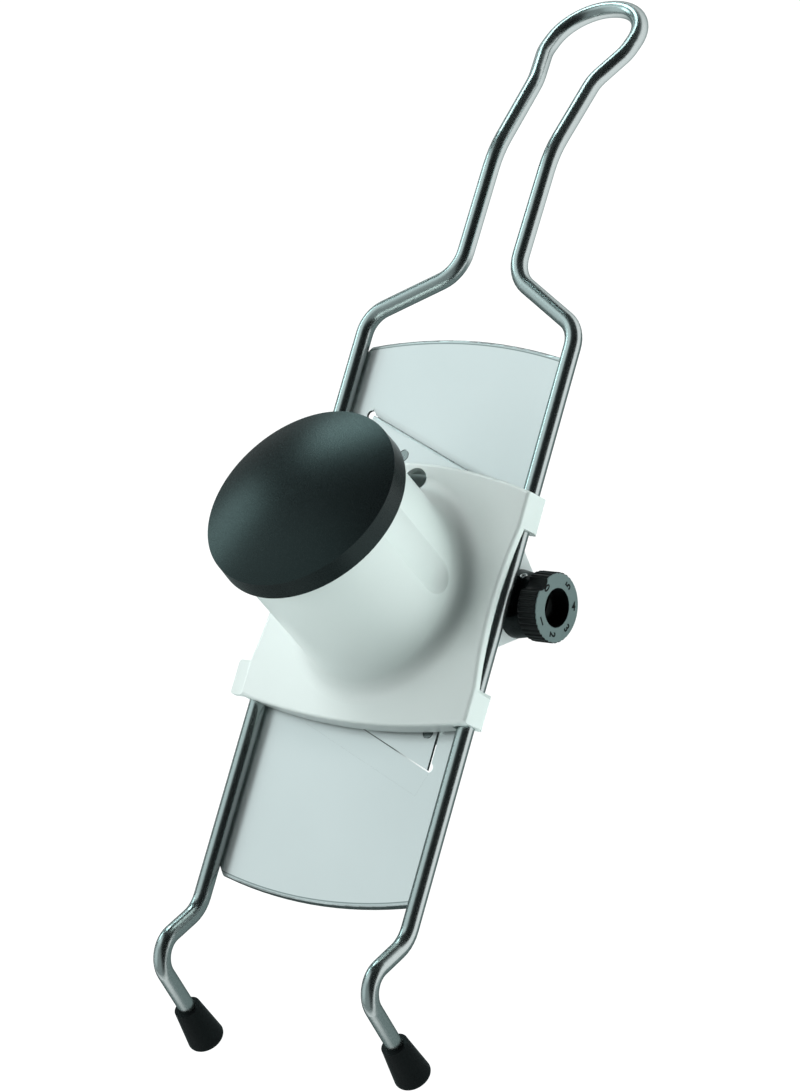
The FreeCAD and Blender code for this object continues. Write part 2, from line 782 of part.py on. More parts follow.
def blade_rivets():
    """Rivets in blind holes, so that the tray's and the blade's tops stay whole."""
    rivets = []
    bottom = SHEET_BOTTOM - S.bar_sheet
    for along, across in blade_rivet_places():
        height = SHEET_TOP - S.rivet_skin - S.fit_gap - bottom
        shank = rod(S.rivet_radius, bottom, height, x=along, y=across)
        tail = rod(S.rivet_head_radius, bottom - S.rivet_tail, S.rivet_tail, x=along, y=across)
        rivets.append(fuse([shank, tail]))
    node = put(group(rivets), "blade_rivets", 0, BLADE_LINE, 0, Vector(0, 0, 1), -S.diagonal)
    node.setExpression("Placement.Rotation.Angle", f"(-{S.diagonal.text}) * 1 deg")


# ---------------------------------------------------------------- hinge and feed platform

def leaf_rivet_places():
    return [(side * S.leaf_pitch, -S.leaf_rivet_inset) for side in (-1, 1)]


def hinge_leaves(label, spans, side):
    """Hinge leaves with rolled knuckles, on one side of the hinge line (-1 platform, 1 tray)."""
    solids = []
    for start, end in spans:
        knuckle = rod(S.knuckle_radius, start, end - start, "x", z=HINGE_LEVEL)
        near, far = side * S.hinge_gap, side * S.leaf_reach
        y0, y1 = (near, far) if side > 0 else (far, near)
        solids.append(fuse([knuckle, box(start, end, y0, y1, SHEET_BOTTOM - S.sheet, SHEET_BOTTOM)]))
    reach = S.leaf_pitch + S.leaf_span * 2
    tools = [rod(S.hinge_pin_radius + S.running_gap, -reach, reach * 2, "x", z=HINGE_LEVEL)]
    if side < 0:
        for x, y in leaf_rivet_places():
            tools.append(rod(S.rivet_radius + S.running_gap, HINGE_LEVEL - S.knuckle_radius,
                             S.knuckle_radius * 4, x=x, y=y))
    node = put(cut(group(solids), tools), label, 0, -S.hinge_y, 0, Vector(0, 0, 1), -S.diagonal)
    node.setExpression("Placement.Rotation.Angle", f"(-{S.diagonal.text}) * 1 deg")


def hinge():
    half = S.leaf_span / 2
    gap = S.knuckle_clear
    inner, outer = S.leaf_pitch - half, S.leaf_pitch + half
    hinge_leaves("platform_hinge_leaves", [(-outer, -inner), (inner, outer)], -1)
    end = S.opening_right / cosine(S.diagonal) - S.side_gap
    spans = [(-end, -outer - gap), (-inner + gap, inner - gap), (outer + gap, end)]
    hinge_leaves("tray_hinge_leaves", spans, 1)
    pin = rod(S.hinge_pin_radius, -end, end * 2, "x", z=HINGE_LEVEL)
    node = put(group([pin]), "hinge_pin", 0, -S.hinge_y, 0, Vector(0, 0, 1), -S.diagonal)
    node.setExpression("Placement.Rotation.Angle", f"(-{S.diagonal.text}) * 1 deg")


def rib_rivet_places():
    """Rivets at the two ends of each rib, at the same inset from the hinge and blade lines."""
    places = []
    for side in (-1, 1):
        x = side * S.rib_x
        places.append((x, line_height(x, -S.hinge_y) - S.rib_rivet_inset))
        places.append((x, line_height(x, BLADE_LINE) + S.rib_rivet_inset))
    return places


def feed_platform():
    body = new_body("platform_sheet")
    left, right = -S.opening_left + S.side_gap, S.opening_right - S.side_gap
    sketch = sketch_on(body, "XY_Plane", SHEET_BOTTOM)
    outline(sketch, [
        (left, line_height(left, BLADE_LINE) + S.blade_gap),
        (right, line_height(right, BLADE_LINE) + S.blade_gap),
        (right, line_height(right, -S.hinge_y) - S.hinge_gap / cosine(S.diagonal)),
        (left, line_height(left, -S.hinge_y) - S.hinge_gap / cosine(S.diagonal)),
    ])
    pad(body, sketch, S.sheet)
    holes = sketch_on(body, "XY_Plane", SHEET_TOP)
    places = rib_rivet_places()
    places += [along_diagonal(along, across, -S.hinge_y) for along, across in leaf_rivet_places()]
    for x, y in places:
        circle(holes, x, y, S.rivet_radius + S.running_gap)
    pocket(body, holes, S.sheet)
    seats = sketch_on(body, "XY_Plane", SHEET_TOP)
    for x, y in places:
        circle(seats, x, y, S.rivet_head_radius + S.rivet_ring)
    pocket(body, seats, S.rivet_head)
    start, end = blade_span()
    waste = edge_waste(start, end, -1, S.platform_edge_round, S.platform_edge_drop,
                       -S.hinge_y - S.hinge_gap / cosine(S.diagonal))
    put(cut(body, [waste]), "feed_platform")


def platform_ribs():
    """Pressed channels under the platform that carry the follower pads."""
    ribs = []
    for number, (x, y) in enumerate(rib_rivet_places()):
        if number % 2:
            continue
        y1 = y + S.rib_end_margin
        y0 = rib_rivet_places()[number + 1][1] - S.rib_end_margin
        half = S.rib_width / 2
        bottom = SHEET_BOTTOM - S.rib_depth
        outer = box(x - half, x + half, y0, y1, bottom, SHEET_BOTTOM)
        inner = box(x - half + S.rib_sheet, x + half - S.rib_sheet, y0, y1, bottom,
                    SHEET_BOTTOM - S.rib_sheet)
        holes = [rod(S.rivet_radius + S.running_gap, bottom, S.rib_depth, x=x, y=spot)
                 for spot in (y, rib_rivet_places()[number + 1][1])]
        ribs.append(cut(outer, [inner] + holes))
    put(group(ribs), "platform_ribs")


def platform_rivets():
    rivets = []
    grips = [(x, y, SHEET_BOTTOM - S.rib_sheet) for x, y in rib_rivet_places()]
    grips += [(*along_diagonal(along, across, -S.hinge_y), SHEET_BOTTOM - S.sheet)
              for along, across in leaf_rivet_places()]
    for x, y, grip in grips:
        shank = rod(S.rivet_radius, grip, SHEET_TOP - grip, x=x, y=y)
        head = rod(S.rivet_head_radius, SHEET_TOP - S.rivet_head, S.rivet_head, x=x, y=y)
        tail = rod(S.rivet_head_radius, grip - S.rivet_tail, S.rivet_tail, x=x, y=y)
        rivets.append(fuse([shank, head, tail]))
    put(group(rivets), "platform_rivets")


def follower_pads():
    """Nylon pads between each rib's flanges, which ride on the cams."""
    pads = []
    for side in (-1, 1):
        half = S.rib_width / 2 - S.rib_sheet
        x = side * S.rib_x
        y0 = SHAFT_Y - S.pad_length / 2
        pads.append(box(x - half, x + half, y0, y0 + S.pad_length, PAD_BOTTOM,
                        SHEET_BOTTOM - S.rib_sheet))
    put(group(pads), "follower_pads")


# ---------------------------------------------------------------- shaft, cams and dial

def cam_lift(side):
    """Fall of the platform over one cam, from its shut to its fully open setting."""
    across = (S.shaft_y - S.hinge_y - side * S.rib_x * tangent(S.diagonal)) * cosine(S.diagonal)
    return across * S.slice_max / S.feed_length


def lift_cams():
    """Spiral cams: the radius falls evenly with the dial's turn, then returns along a flat."""
    solids = []
    for side in (-1, 1):
        lift = cam_lift(side).value
        top = CAM_TOP.value
        turn = math.radians(S.dial_turn.value)
        steps = 24
        points = []
        for step in range(steps + 1):
            share = step / steps
            radius = top - lift * share
            angle = math.pi / 2 + turn * share
            points.append(Vector(0, radius * math.cos(angle), radius * math.sin(angle)))
        spiral = Part.BSplineCurve()
        spiral.interpolate(points)
        profile = Part.Wire([spiral.toShape(), Part.LineSegment(points[-1], points[0]).toShape()])
        width = S.cam_width.value
        centre = side * S.rib_x.value
        start = Vector(centre - width / 2, 0, 0)
        profile.translate(start)
        lobe = Part.Face(profile).extrude(Vector(width, 0, 0))
        hub_start = centre + side * -(width / 2 + S.cam_hub_length.value)
        hub_start = hub_start if side > 0 else hub_start - S.cam_hub_length.value
        hub = Part.makeCylinder(S.cam_hub_radius.value, S.cam_hub_length.value,
                                Vector(hub_start, 0, 0), Vector(1, 0, 0))
        bore = Part.makeCylinder(S.shaft_radius.value + S.fit_gap.value, 4 * width,
                                 Vector(centre - 2 * width, 0, 0), Vector(1, 0, 0))
        reach = S.cam_hub_radius.value * 2
        pin = Part.makeCylinder(S.cam_pin_radius.value + S.fit_gap.value, reach * 2,
                                Vector(hub_start + S.cam_hub_length.value / 2, 0, -reach))
        solids.append(lobe.fuse(hub).cut(bore).cut(pin).removeSplitter())
    node = DOC.addObject("Part::Feature", "lift_cams")
    node.Shape = Part.makeCompound(solids)
    put(node, "lift_cams", 0, SHAFT_Y, SHAFT_Z)


def pin_places():
    """X of the pins that fix the cams' hubs on the shaft."""
    reach = S.rib_x - S.cam_width / 2 - S.cam_hub_length / 2
    return [-reach, reach]


def cam_shaft():
    start = -EAR_X - S.bush_stand - S.clip_ring - S.clip_groove * 2
    end = KNOB_BACK + S.knob_web
    barrel = rod(S.shaft_radius, start, end - start, "x")
    groove_start = -EAR_X - S.bush_stand - S.clip_ring - S.running_gap * 2
    ring = rod(S.shaft_radius * 2, groove_start, S.clip_ring + S.running_gap, "x")
    core = rod(S.shaft_radius - S.clip_groove, groove_start, S.clip_ring + S.running_gap, "x")
    tap = rod(S.screw_radius + S.fit_gap, end - S.screw_length, S.screw_length, "x")
    reach = S.cam_hub_radius * 2
    pins = [rod(S.cam_pin_radius + S.fit_gap, -reach, reach * 2, x=x) for x in pin_places()]
    node = cut(barrel, [cut(ring, [core]), tap] + pins)
    put(node, "cam_shaft", 0, SHAFT_Y, SHAFT_Z)


def cam_pins():
    length = (S.cam_hub_radius - S.cam_pin_inset) * 2
    pins = [rod(S.cam_pin_radius, -length / 2, length, x=x) for x in pin_places()]
    put(group(pins), "cam_pins", 0, SHAFT_Y, SHAFT_Z)


def shaft_clip():
    """Spring ring in the shaft's groove."""
    start = -EAR_X - S.bush_stand - S.clip_ring - S.running_gap
    ring = rod(S.clip_ring_radius, start, S.clip_ring - S.running_gap, "x")
    hole = rod(S.shaft_radius - S.clip_groove + S.fit_gap, start, S.clip_ring, "x")
    put(cut(ring, [hole]), "shaft_clip", 0, SHAFT_Y, SHAFT_Z)


def bearing_ear(label, x0, flange0, flange1):
    """Bent steel ear: a web that narrows to a round end about the shaft, and a flange."""
    body = new_body(label)
    low = S.ear_round * cosine(S.ear_lean)
    level = -S.ear_round * sine(S.ear_lean)
    sketch = sketch_on(body, "YZ_Plane", x0)
    outline(sketch, [(-EAR_HALF, EAR_TOP), (-low, level), (low, level), (EAR_HALF, EAR_TOP)],
            {1: S.ear_round})
    pad(body, sketch, S.ear_sheet)
    flange = sketch_on(body, "XY_Plane", EAR_TOP)
    outline(flange, [(flange0, -EAR_HALF), (flange1, -EAR_HALF), (flange1, EAR_HALF),
                     (flange0, EAR_HALF)])
    pad(body, flange, S.ear_sheet, reversed_side=True)
    bore = sketch_on(body, "YZ_Plane", x0)
    circle(bore, 0, 0, S.bush_radius + S.fit_gap)
    pocket(body, bore, S.ear_sheet, reversed_side=True)
    if label == "outer_bearing_ear":
        holes = sketch_on(body, "YZ_Plane", x0)
        for y, z in housing_screw_places():
            circle(holes, y, z, S.housing_screw_radius + S.running_gap)
        pocket(body, holes, S.ear_sheet, reversed_side=True)
    put(body, label, 0, SHAFT_Y, SHAFT_Z)


def housing_screw_places():
    """Y and Z of the housing's two screws, about the shaft."""
    drop = S.housing_screw_pitch / 2
    return [(-root(S.housing_screw_pitch * S.housing_screw_pitch - drop * drop), -drop),
            (root(S.housing_screw_pitch * S.housing_screw_pitch - drop * drop), -drop)]


def bearings():
    inner_face = -EAR_X + S.ear_sheet
    outer_face = EAR_X - S.ear_sheet
    bearing_ear("inner_bearing_ear", -EAR_X, -EAR_X, -EAR_X + S.ear_flange)
    bearing_ear("outer_bearing_ear", outer_face, EAR_X - S.ear_flange, EAR_X)
    length = S.ear_sheet + S.bush_stand
    left = fuse([rod(S.bush_radius, -EAR_X - S.bush_stand, length, "x"),
                 rod(S.bush_flange_radius, inner_face, S.bush_flange, "x")])
    right = fuse([rod(S.bush_radius, outer_face, length, "x"),
                  rod(S.bush_flange_radius, outer_face - S.bush_flange, S.bush_flange, "x")])
    bore = S.shaft_radius + S.running_gap
    bores = [rod(bore, -EAR_X * 2, EAR_X * 4, "x")]
    put(cut(group([left, right]), bores), "shaft_bushes", 0, SHAFT_Y, SHAFT_Z)


def dial_housing():
    """Black cone on the ear, flattened on top where the carriage's clips pass."""
    length = HOUSING_END - EAR_X
    top = -CLIP_DEPTH - S.housing_pass_gap - SHAFT_Z
    cavity = length - S.housing_wall
    body = turned("dial_housing", [
        (S.housing_cavity_radius, 0),
        (S.housing_base_radius, 0),
        (S.housing_end_radius, length),
        (S.housing_bore_radius, length),
        (S.housing_bore_radius, cavity),
        (S.housing_cavity_radius, cavity),
    ])
    flat = sketch_on(body, "XY_Plane")
    reach = S.housing_base_radius * 2
    outline(flat, [(-reach, -reach), (-top, -reach), (-top, reach), (-reach, reach)])
    pocket(body, flat, length, reversed_side=True)
    holes = sketch_on(body, "XY_Plane")
    for y, z in housing_screw_places():
        circle(holes, -z, y, S.housing_screw_radius + S.running_gap)
    pocket(body, holes, S.housing_screw_depth, reversed_side=True)
    put(body, "dial_housing", EAR_X, SHAFT_Y, SHAFT_Z, Vector(0, 1, 0), 90)


def housing_screws():
    screws = []
    face = EAR_X - S.ear_sheet
    for y, z in housing_screw_places():
        length = S.ear_sheet + S.housing_screw_depth - S.running_gap
        shank = rod(S.housing_screw_radius, face, length, "x", y=y, z=z)
        head = rod(S.housing_screw_radius * 2, face - S.bush_flange, S.bush_flange, "x", y=y, z=z)
        screws.append(fuse([shank, head]))
    put(group(screws), "housing_screws", 0, SHAFT_Y, SHAFT_Z)


def dial_knob():
    """Fluted knob with a deep round recess and a thumb notch beside its zero."""
    edge = S.knob_edge
    body = turned("dial_knob", [
        (S.shaft_radius + S.fit_gap, 0),
        (S.knob_radius - edge, 0),
        (S.knob_radius, edge),
        (S.knob_radius, S.knob_length - edge),
        (S.knob_radius - edge, S.knob_length),
        (S.knob_hole_radius, S.knob_length),
        (S.knob_hole_radius, S.knob_web),
        (S.shaft_radius + S.fit_gap, S.knob_web),
    ])
    notch = sketch_on(body, "XY_Plane")
    circle(notch, -S.knob_notch_reach * sine(S.knob_notch_angle),
           S.knob_notch_reach * cosine(S.knob_notch_angle), S.knob_notch_radius)
    pocket(body, notch, S.knob_length, reversed_side=True)
    flute = sketch_on(body, "XY_Plane")
    circle(flute, S.knob_radius + S.knob_flute_radius / 3, 0, S.knob_flute_radius)
    groove = pocket(body, flute, S.knob_length, reversed_side=True)
    pattern = body.newObject("PartDesign::PolarPattern", "flutes")
    pattern.Originals = [groove]
    pattern.Axis = (flute, ["N_Axis"])
    pattern.Angle = 360
    pattern.Occurrences = int(S.knob_flutes.value)
    pattern.setExpression("Occurrences", S.knob_flutes.text)
    body.Tip = pattern
    DOC.recompute()
    put(body, "dial_knob", KNOB_BACK, SHAFT_Y, SHAFT_Z, Vector(0, 1, 0), 90)


def dial_screw():
    start = KNOB_BACK + S.knob_web
    length = S.screw_length - S.screw_run_out
    shank = rod(S.screw_radius, start - length, length, "x")
    head = rod(S.screw_head_radius, start, S.screw_head, "x")
    slot = box(start + S.screw_head / 2, start + S.screw_head, -S.screw_head_radius,
               S.screw_head_radius, -S.screw_slot / 2, S.screw_slot / 2)
    put(cut(fuse([shank, head]), [slot]), "dial_screw", 0, SHAFT_Y, SHAFT_Z)


# ---------------------------------------------------------------- carriage and pusher

def chute_axis():
    """Top centre and direction of the chute's axis, in the rail frame."""
    tilt = math.radians(S.chute_tilt.value)
    return Vector(0, -S.cap_y.value, S.cap_rise.value), Vector(0, math.sin(tilt), math.cos(tilt))


def axis_cylinder(radius, top, length, aside=0.0):
    """Cylinder along the chute's axis, from a distance under the cap's edge downwards."""
    centre, up = chute_axis()
    sideways = Vector(1, 0, 0)
    turn = Rotation(up, S.flute_angle.value)
    start = centre - up * (top + length) + turn.multVec(sideways) * aside
    return Part.makeCylinder(radius, length, start, up)


def flute_cylinder(extra, top, length):
    """Cylinder that shapes the key flute, grown by a wall or a gap."""
    reach = S.chute_radius.value - S.flute_depth.value + S.flute_radius.value
    return axis_cylinder(S.flute_radius.value + extra, top, length, reach)


def plate_outline(level):
    """Outline of the carriage's plate: bowed ends and a drawn-in waist."""
    half = PLATE_HALF.value
    waist = PLATE_WAIST.value
    top, top_corner = -S.plate_top_y.value, -S.plate_top_corner_y.value
    end, end_corner = -S.plate_end_y.value, -S.plate_end_corner_y.value
    clip_low = top_corner - S.clip_length.value
    clip_high = end_corner + S.clip_length.value
    middle = (clip_low + clip_high) / 2

    def at(x, y):
        return Vector(x, y, level)

    edges = [
        Part.Arc(at(half, top_corner), at(0, top), at(-half, top_corner)),
        Part.LineSegment(at(-half, top_corner), at(-half, clip_low)),
        Part.Arc(at(-half, clip_low), at(-waist, middle), at(-half, clip_high)),
        Part.LineSegment(at(-half, clip_high), at(-half, end_corner)),
        Part.Arc(at(-half, end_corner), at(0, end), at(half, end_corner)),
        Part.LineSegment(at(half, end_corner), at(half, clip_high)),
        Part.Arc(at(half, clip_high), at(waist, middle), at(half, clip_low)),
        Part.LineSegment(at(half, clip_low), at(half, top_corner)),
    ]
    return Part.Wire([edge.toShape() for edge in edges])


def clip(side, y0, y1, chamfer=0.0):
    """Hooked sleeve that holds the plate down on one rail; chamfer slants its +Y end."""
    rail = RAIL_X.value
    half = PLATE_HALF.value
    depth = CLIP_DEPTH.value
    lip = rail + S.clip_lip.value
    wall = -S.chute_foot.value
    high = PLATE_TOP.value - S.plate_edge_round.value
    corners = [
        (PLATE_WALL.value - 1, high),
        (PLATE_WALL.value - 1, wall),
        (lip, wall),
        (lip, -depth),
        (half - S.clip_bulge.value, -depth),
        (half + S.clip_bulge.value, -S.clip_slope.value),
        (half, high),
    ]
    points = [Vector(side * x, y0, z) for x, z in corners]
    hook = Part.Face(Part.makePolygon(points + [points[0]])).extrude(Vector(0, y1 - y0, 0))
    rounded = [edge for edge in hook.Edges
               if abs(edge.Vertexes[0].Y - edge.Vertexes[-1].Y) > 1
               and edge.Vertexes[0].Z < high - 1 and abs(edge.Vertexes[0].X) > lip + 1]
    hook = hook.makeFillet(S.clip_bulge.value, rounded)
    if chamfer:
        outer = half + 2 * S.clip_bulge.value
        inner = outer - chamfer - S.clip_bulge.value
        places = [(inner, y1), (outer, y1), (outer, y1 - (outer - inner))]
        corner = [Vector(side * x, y, -2 * depth) for x, y in places]
        wedge = Part.Face(Part.makePolygon(corner + [corner[0]]))
        hook = hook.cut(wedge.extrude(Vector(0, 0, 4 * depth)))
    return hook


def carriage():
    top = PLATE_TOP.value
    foot = -S.chute_foot.value
    slab = Part.Face(plate_outline(foot)).extrude(Vector(0, 0, top - foot))
    rim = [edge for edge in slab.Edges if min(v.Z for v in edge.Vertexes) > top - 1e-6]
    slab = slab.makeFillet(S.plate_edge_round.value, rim)
    side_level = top - S.plate_side.value
    wall_x = PLATE_WALL.value
    reach = 2 * S.plate_end_y.value
    for start in (wall_x, -wall_x - reach):
        slab = slab.cut(Part.makeBox(reach, 2 * reach, side_level - foot + 1,
                                     Vector(start, -1.5 * reach, foot - 1)))
    centre, up = chute_axis()
    length = (centre.z + 4 * S.plate_sheet.value) / up.z
    chute_top = S.disc_top.value + S.disc_rest_gap.value
    post = axis_cylinder(S.chute_radius.value, chute_top, length)
    above = Part.makeBox(2 * reach, 2 * reach, reach, Vector(-reach, -1.5 * reach, foot))
    shell = slab.fuse(post.common(above)).removeSplitter()
    base = [edge for edge in shell.Edges
            if edge.BoundBox.ZMin > top - S.plate_sheet.value / 10
            and edge.BoundBox.ZMax < top + S.plate_sheet.value / 10
            and edge.BoundBox.XLength > 1.8 * S.chute_radius.value
            and edge.BoundBox.XLength < 2.1 * S.chute_radius.value]
    shell = shell.makeFillet(S.chute_fillet.value, base)
    sheet = S.plate_sheet.value
    hollow = Part.Face(plate_outline(foot - 1).makeOffset2D(-sheet))
    hollow = hollow.extrude(Vector(0, 0, top - sheet - foot + 1))
    shell = shell.cut(hollow.cut(post))
    beyond = S.tool_reach.value
    bore = axis_cylinder(S.chute_radius.value - S.chute_wall.value, -beyond, length + 2 * beyond)
    ridge = flute_cylinder(S.chute_wall.value, -beyond, length + 2 * beyond)
    shell = shell.cut(bore.cut(ridge))
    flute = flute_cylinder(0, -beyond, S.flute_end.value + beyond)
    end = flute.CenterOfMass - up * (S.flute_end.value + beyond) / 2
    flute = flute.fuse(Part.makeSphere(S.flute_radius.value, end))
    shell = shell.cut(flute)
    peep = Part.makeCylinder(S.peep_radius.value, S.plate_side.value + S.chute_fillet.value,
                             Vector(0, -S.peep_y.value, side_level))
    shell = shell.cut(peep)
    high_y = -S.plate_top_corner_y.value
    low_y = -S.plate_end_corner_y.value
    length_y = S.clip_length.value
    parts = []
    for side in (-1, 1):
        parts.append(clip(side, high_y - length_y, high_y))
        parts.append(clip(side, low_y, low_y + length_y, S.clip_chamfer.value))
    lug_top = top - S.plate_edge_round.value
    for y in (high_y - length_y, low_y):
        lug = Part.makeBox(LUG_REACH.value - PLATE_WAIST.value, length_y, S.lug_sheet.value,
                           Vector(-LUG_REACH.value, y, lug_top - S.lug_sheet.value))
        corners = [edge for edge in lug.Edges
                   if edge.BoundBox.ZLength > 1 and edge.BoundBox.XMax < -LUG_REACH.value + 1]
        parts.append(lug.makeFillet(S.plate_edge_round.value, corners))
    shell = shell.fuse(parts)
    for side in (-1, 1):
        rail = Part.makeCylinder(WIRE.value + S.slide_gap.value, reach * 2,
                                 Vector(side * RAIL_X.value, -1.5 * reach, 0), Vector(0, 1, 0))
        shell = shell.cut(rail)
    node = DOC.addObject("Part::Feature", "carriage")
    node.Shape = shell.removeSplitter()
    put(node, "carriage")


def pusher_cap():
    """Domed black disc with a skirt over the chute's end and a central post."""
    _, up = chute_axis()
    floor = (S.cap_rise - S.pusher_level - S.pusher_floor) / cosine(S.chute_tilt)
    post = floor - S.post_radius * tangent(S.chute_tilt)
    outer = S.disc_radius + S.disc_flare
    dome = (S.disc_radius * S.disc_radius + S.disc_dome * S.disc_dome) / (S.disc_dome * 2)
    body = turned("pusher_cap", [
        (0, -post),
        (S.post_radius, -post),
        (S.post_radius, -S.disc_top),
        (outer - S.disc_skirt, -S.disc_top),
        (outer - S.disc_skirt, -S.disc_rim),
        (outer, -S.disc_rim),
        (S.disc_radius, 0),
        (0, S.disc_dome),
    ], {6: dome})
    tap = sketch_on(body, "XY_Plane", -post)
    circle(tap, 0, 0, S.screw_radius + S.fit_gap)
    pocket(body, tap, S.screw_length, reversed_side=True)
    put(body, "pusher_cap", 0, -S.cap_y, S.cap_rise, Vector(1, 0, 0), -S.chute_tilt)
    body.setExpression("Placement.Rotation.Angle", f"(-{S.chute_tilt.text}) * 1 deg")


def prong_spots():
    """Places of the prongs, in a ring about the pusher's floor."""
    centre, up = chute_axis()
    level = S.pusher_level.value
    middle = centre - up * ((centre.z - level) / up.z)
    count = int(S.prong_count.value)
    spots = []
    for number in range(count):
        angle = 2 * math.pi * (number + 0.5) / count
        spots.append(middle + Vector(math.cos(angle), math.sin(angle), 0) * S.prong_circle.value)
    return spots


def pusher_cup():
    """White cup that slides in the chute, keyed by its groove, with a floor along the tray."""
    centre, up = chute_axis()
    level, floor = S.pusher_level.value, S.pusher_floor.value
    top = S.disc_top.value
    beyond = S.tool_reach.value
    length = (centre.z + beyond) / up.z
    wide = 4 * centre.z
    gap = S.pusher_gap.value
    outer = axis_cylinder(CUP_RADIUS.value, top, length)
    outer = outer.cut(flute_cylinder(S.chute_wall.value + gap, 0, length + beyond))
    outer = outer.common(Part.makeBox(wide, wide, wide, Vector(-wide / 2, -wide * 0.6, level)))
    wall = S.pusher_wall.value
    inner = axis_cylinder(CUP_RADIUS.value - wall, top - wall, length)
    inner = inner.cut(flute_cylinder(S.chute_wall.value + gap + wall, 0, length + beyond))
    inner = inner.common(Part.makeBox(wide, wide, wide,
                                      Vector(-wide / 2, -wide * 0.6, level + floor)))
    cup = outer.cut(inner)
    post_end = (centre.z - level - floor) / up.z - S.post_radius.value * math.tan(
        math.radians(S.chute_tilt.value))
    clear = S.screw_clear.value
    cup = cup.cut(axis_cylinder(S.screw_radius.value + clear, post_end - wall, 2 * beyond))
    head = S.screw_head_radius.value + clear
    cup = cup.cut(axis_cylinder(head, post_end + S.pusher_floor.value - S.screw_head.value,
                                beyond))
    for spot in prong_spots():
        cup = cup.cut(Part.makeCylinder(S.prong_radius.value + S.fit_gap.value,
                                        S.prong_root.value + 1, spot - Vector(0, 0, 1)))
    node = DOC.addObject("Part::Feature", "pusher_cup")
    node.Shape = cup.removeSplitter()
    put(node, "pusher_cup")


def pusher_prongs():
    prongs = []
    drop = S.prong_drop.value
    radius = S.prong_radius.value
    for spot in prong_spots():
        shank = Part.makeCylinder(radius, drop - radius * 2 + S.prong_root.value
                                  - S.running_gap.value,
                                  spot - Vector(0, 0, drop - radius * 2))
        tip = Part.makeCone(radius / 4, radius, radius * 2, spot - Vector(0, 0, drop))
        prongs.append(shank.fuse(tip).removeSplitter())
    node = DOC.addObject("Part::Feature", "pusher_prongs")
    node.Shape = Part.makeCompound(prongs)
    put(node, "pusher_prongs")


def pusher_screw():
    """Screw through the cup's floor into the cap's post."""
    centre, up = chute_axis()
    post_end = (centre.z - S.pusher_level.value - S.pusher_floor.value) / up.z
    post_end -= S.post_radius.value * math.tan(math.radians(S.chute_tilt.value))
    head_top = post_end + S.pusher_floor.value - S.screw_head.value
    grip = S.screw_length.value - S.screw_run_out.value
    shank = axis_cylinder(S.screw_radius.value, post_end - grip, head_top - post_end + grip)
    head = axis_cylinder(S.screw_head_radius.value, head_top, S.screw_head.value)
    node = DOC.addObject("Part::Feature", "pusher_screw")
    node.Shape = shank.fuse(head).removeSplitter()
    put(node, "pusher_screw")


def build():
    """Make every sub-part."""
    wire_frame()
    foot_cap("foot_cap_left", -1)
    foot_cap("foot_cap_right", 1)
    tray()
    tray_welds()
    blade()
    blade_clamp_bar()
    blade_rivets()
    hinge()
    feed_platform()
    platform_ribs()
    platform_rivets()
    follower_pads()
    lift_cams()
    cam_shaft()
    cam_pins()
    shaft_clip()
    bearings()
    dial_housing()
    housing_screws()
    dial_knob()
    dial_screw()
    carriage()
    pusher_cap()
    pusher_cup()
    pusher_prongs()
    pusher_screw()


def check():
    """Stop if any object failed or any sub-part's shape is missing or invalid."""
    for item in DOC.Objects:
        if "Invalid" in item.State or "Error" in item.State:
            raise RuntimeError(f"{item.Label} failed: {item.State}")
    for piece in SUBPARTS:
        if piece.Shape.isNull() or not piece.Shape.isValid():
            raise RuntimeError(f"{piece.Label} has no valid shape")


def main():
    build()
    DOC.recompute()
    check()
    os.makedirs("parts", exist_ok=True)
    for piece in SUBPARTS:
        piece.Shape.exportStep(f"parts/{piece.Label}.step")
        bounds = piece.Shape.BoundBox
        print(f"{piece.Label:24s} solids {len(piece.Shape.Solids)} volume {piece.Shape.Volume:9.1f}"
              f"  x {bounds.XMin:7.2f} {bounds.XMax:7.2f}  y {bounds.YMin:7.2f} {bounds.YMax:7.2f}"
              f"  z {bounds.ZMin:6.2f} {bounds.ZMax:6.2f}")


main()
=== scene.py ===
"""Studio scene of a wire-framed mandoline slicer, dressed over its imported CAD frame.

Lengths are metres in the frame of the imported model. Sizes given in the classes are millimetres
in the rail frame, whose X = 0 is the slicer's symmetry plane, whose Y runs along the rails
towards the handle and whose Z = 0 is the plane of the rails' centre lines. RailFrame turns them
into metres.
"""
from __future__ import annotations

import json
import logging
import math
from dataclasses import dataclass
from enum import Enum
from typing import Sequence

import bmesh
import bpy
from bpy.types import Material, Mesh, NodeSocket, Object
from mathutils import Matrix, Vector

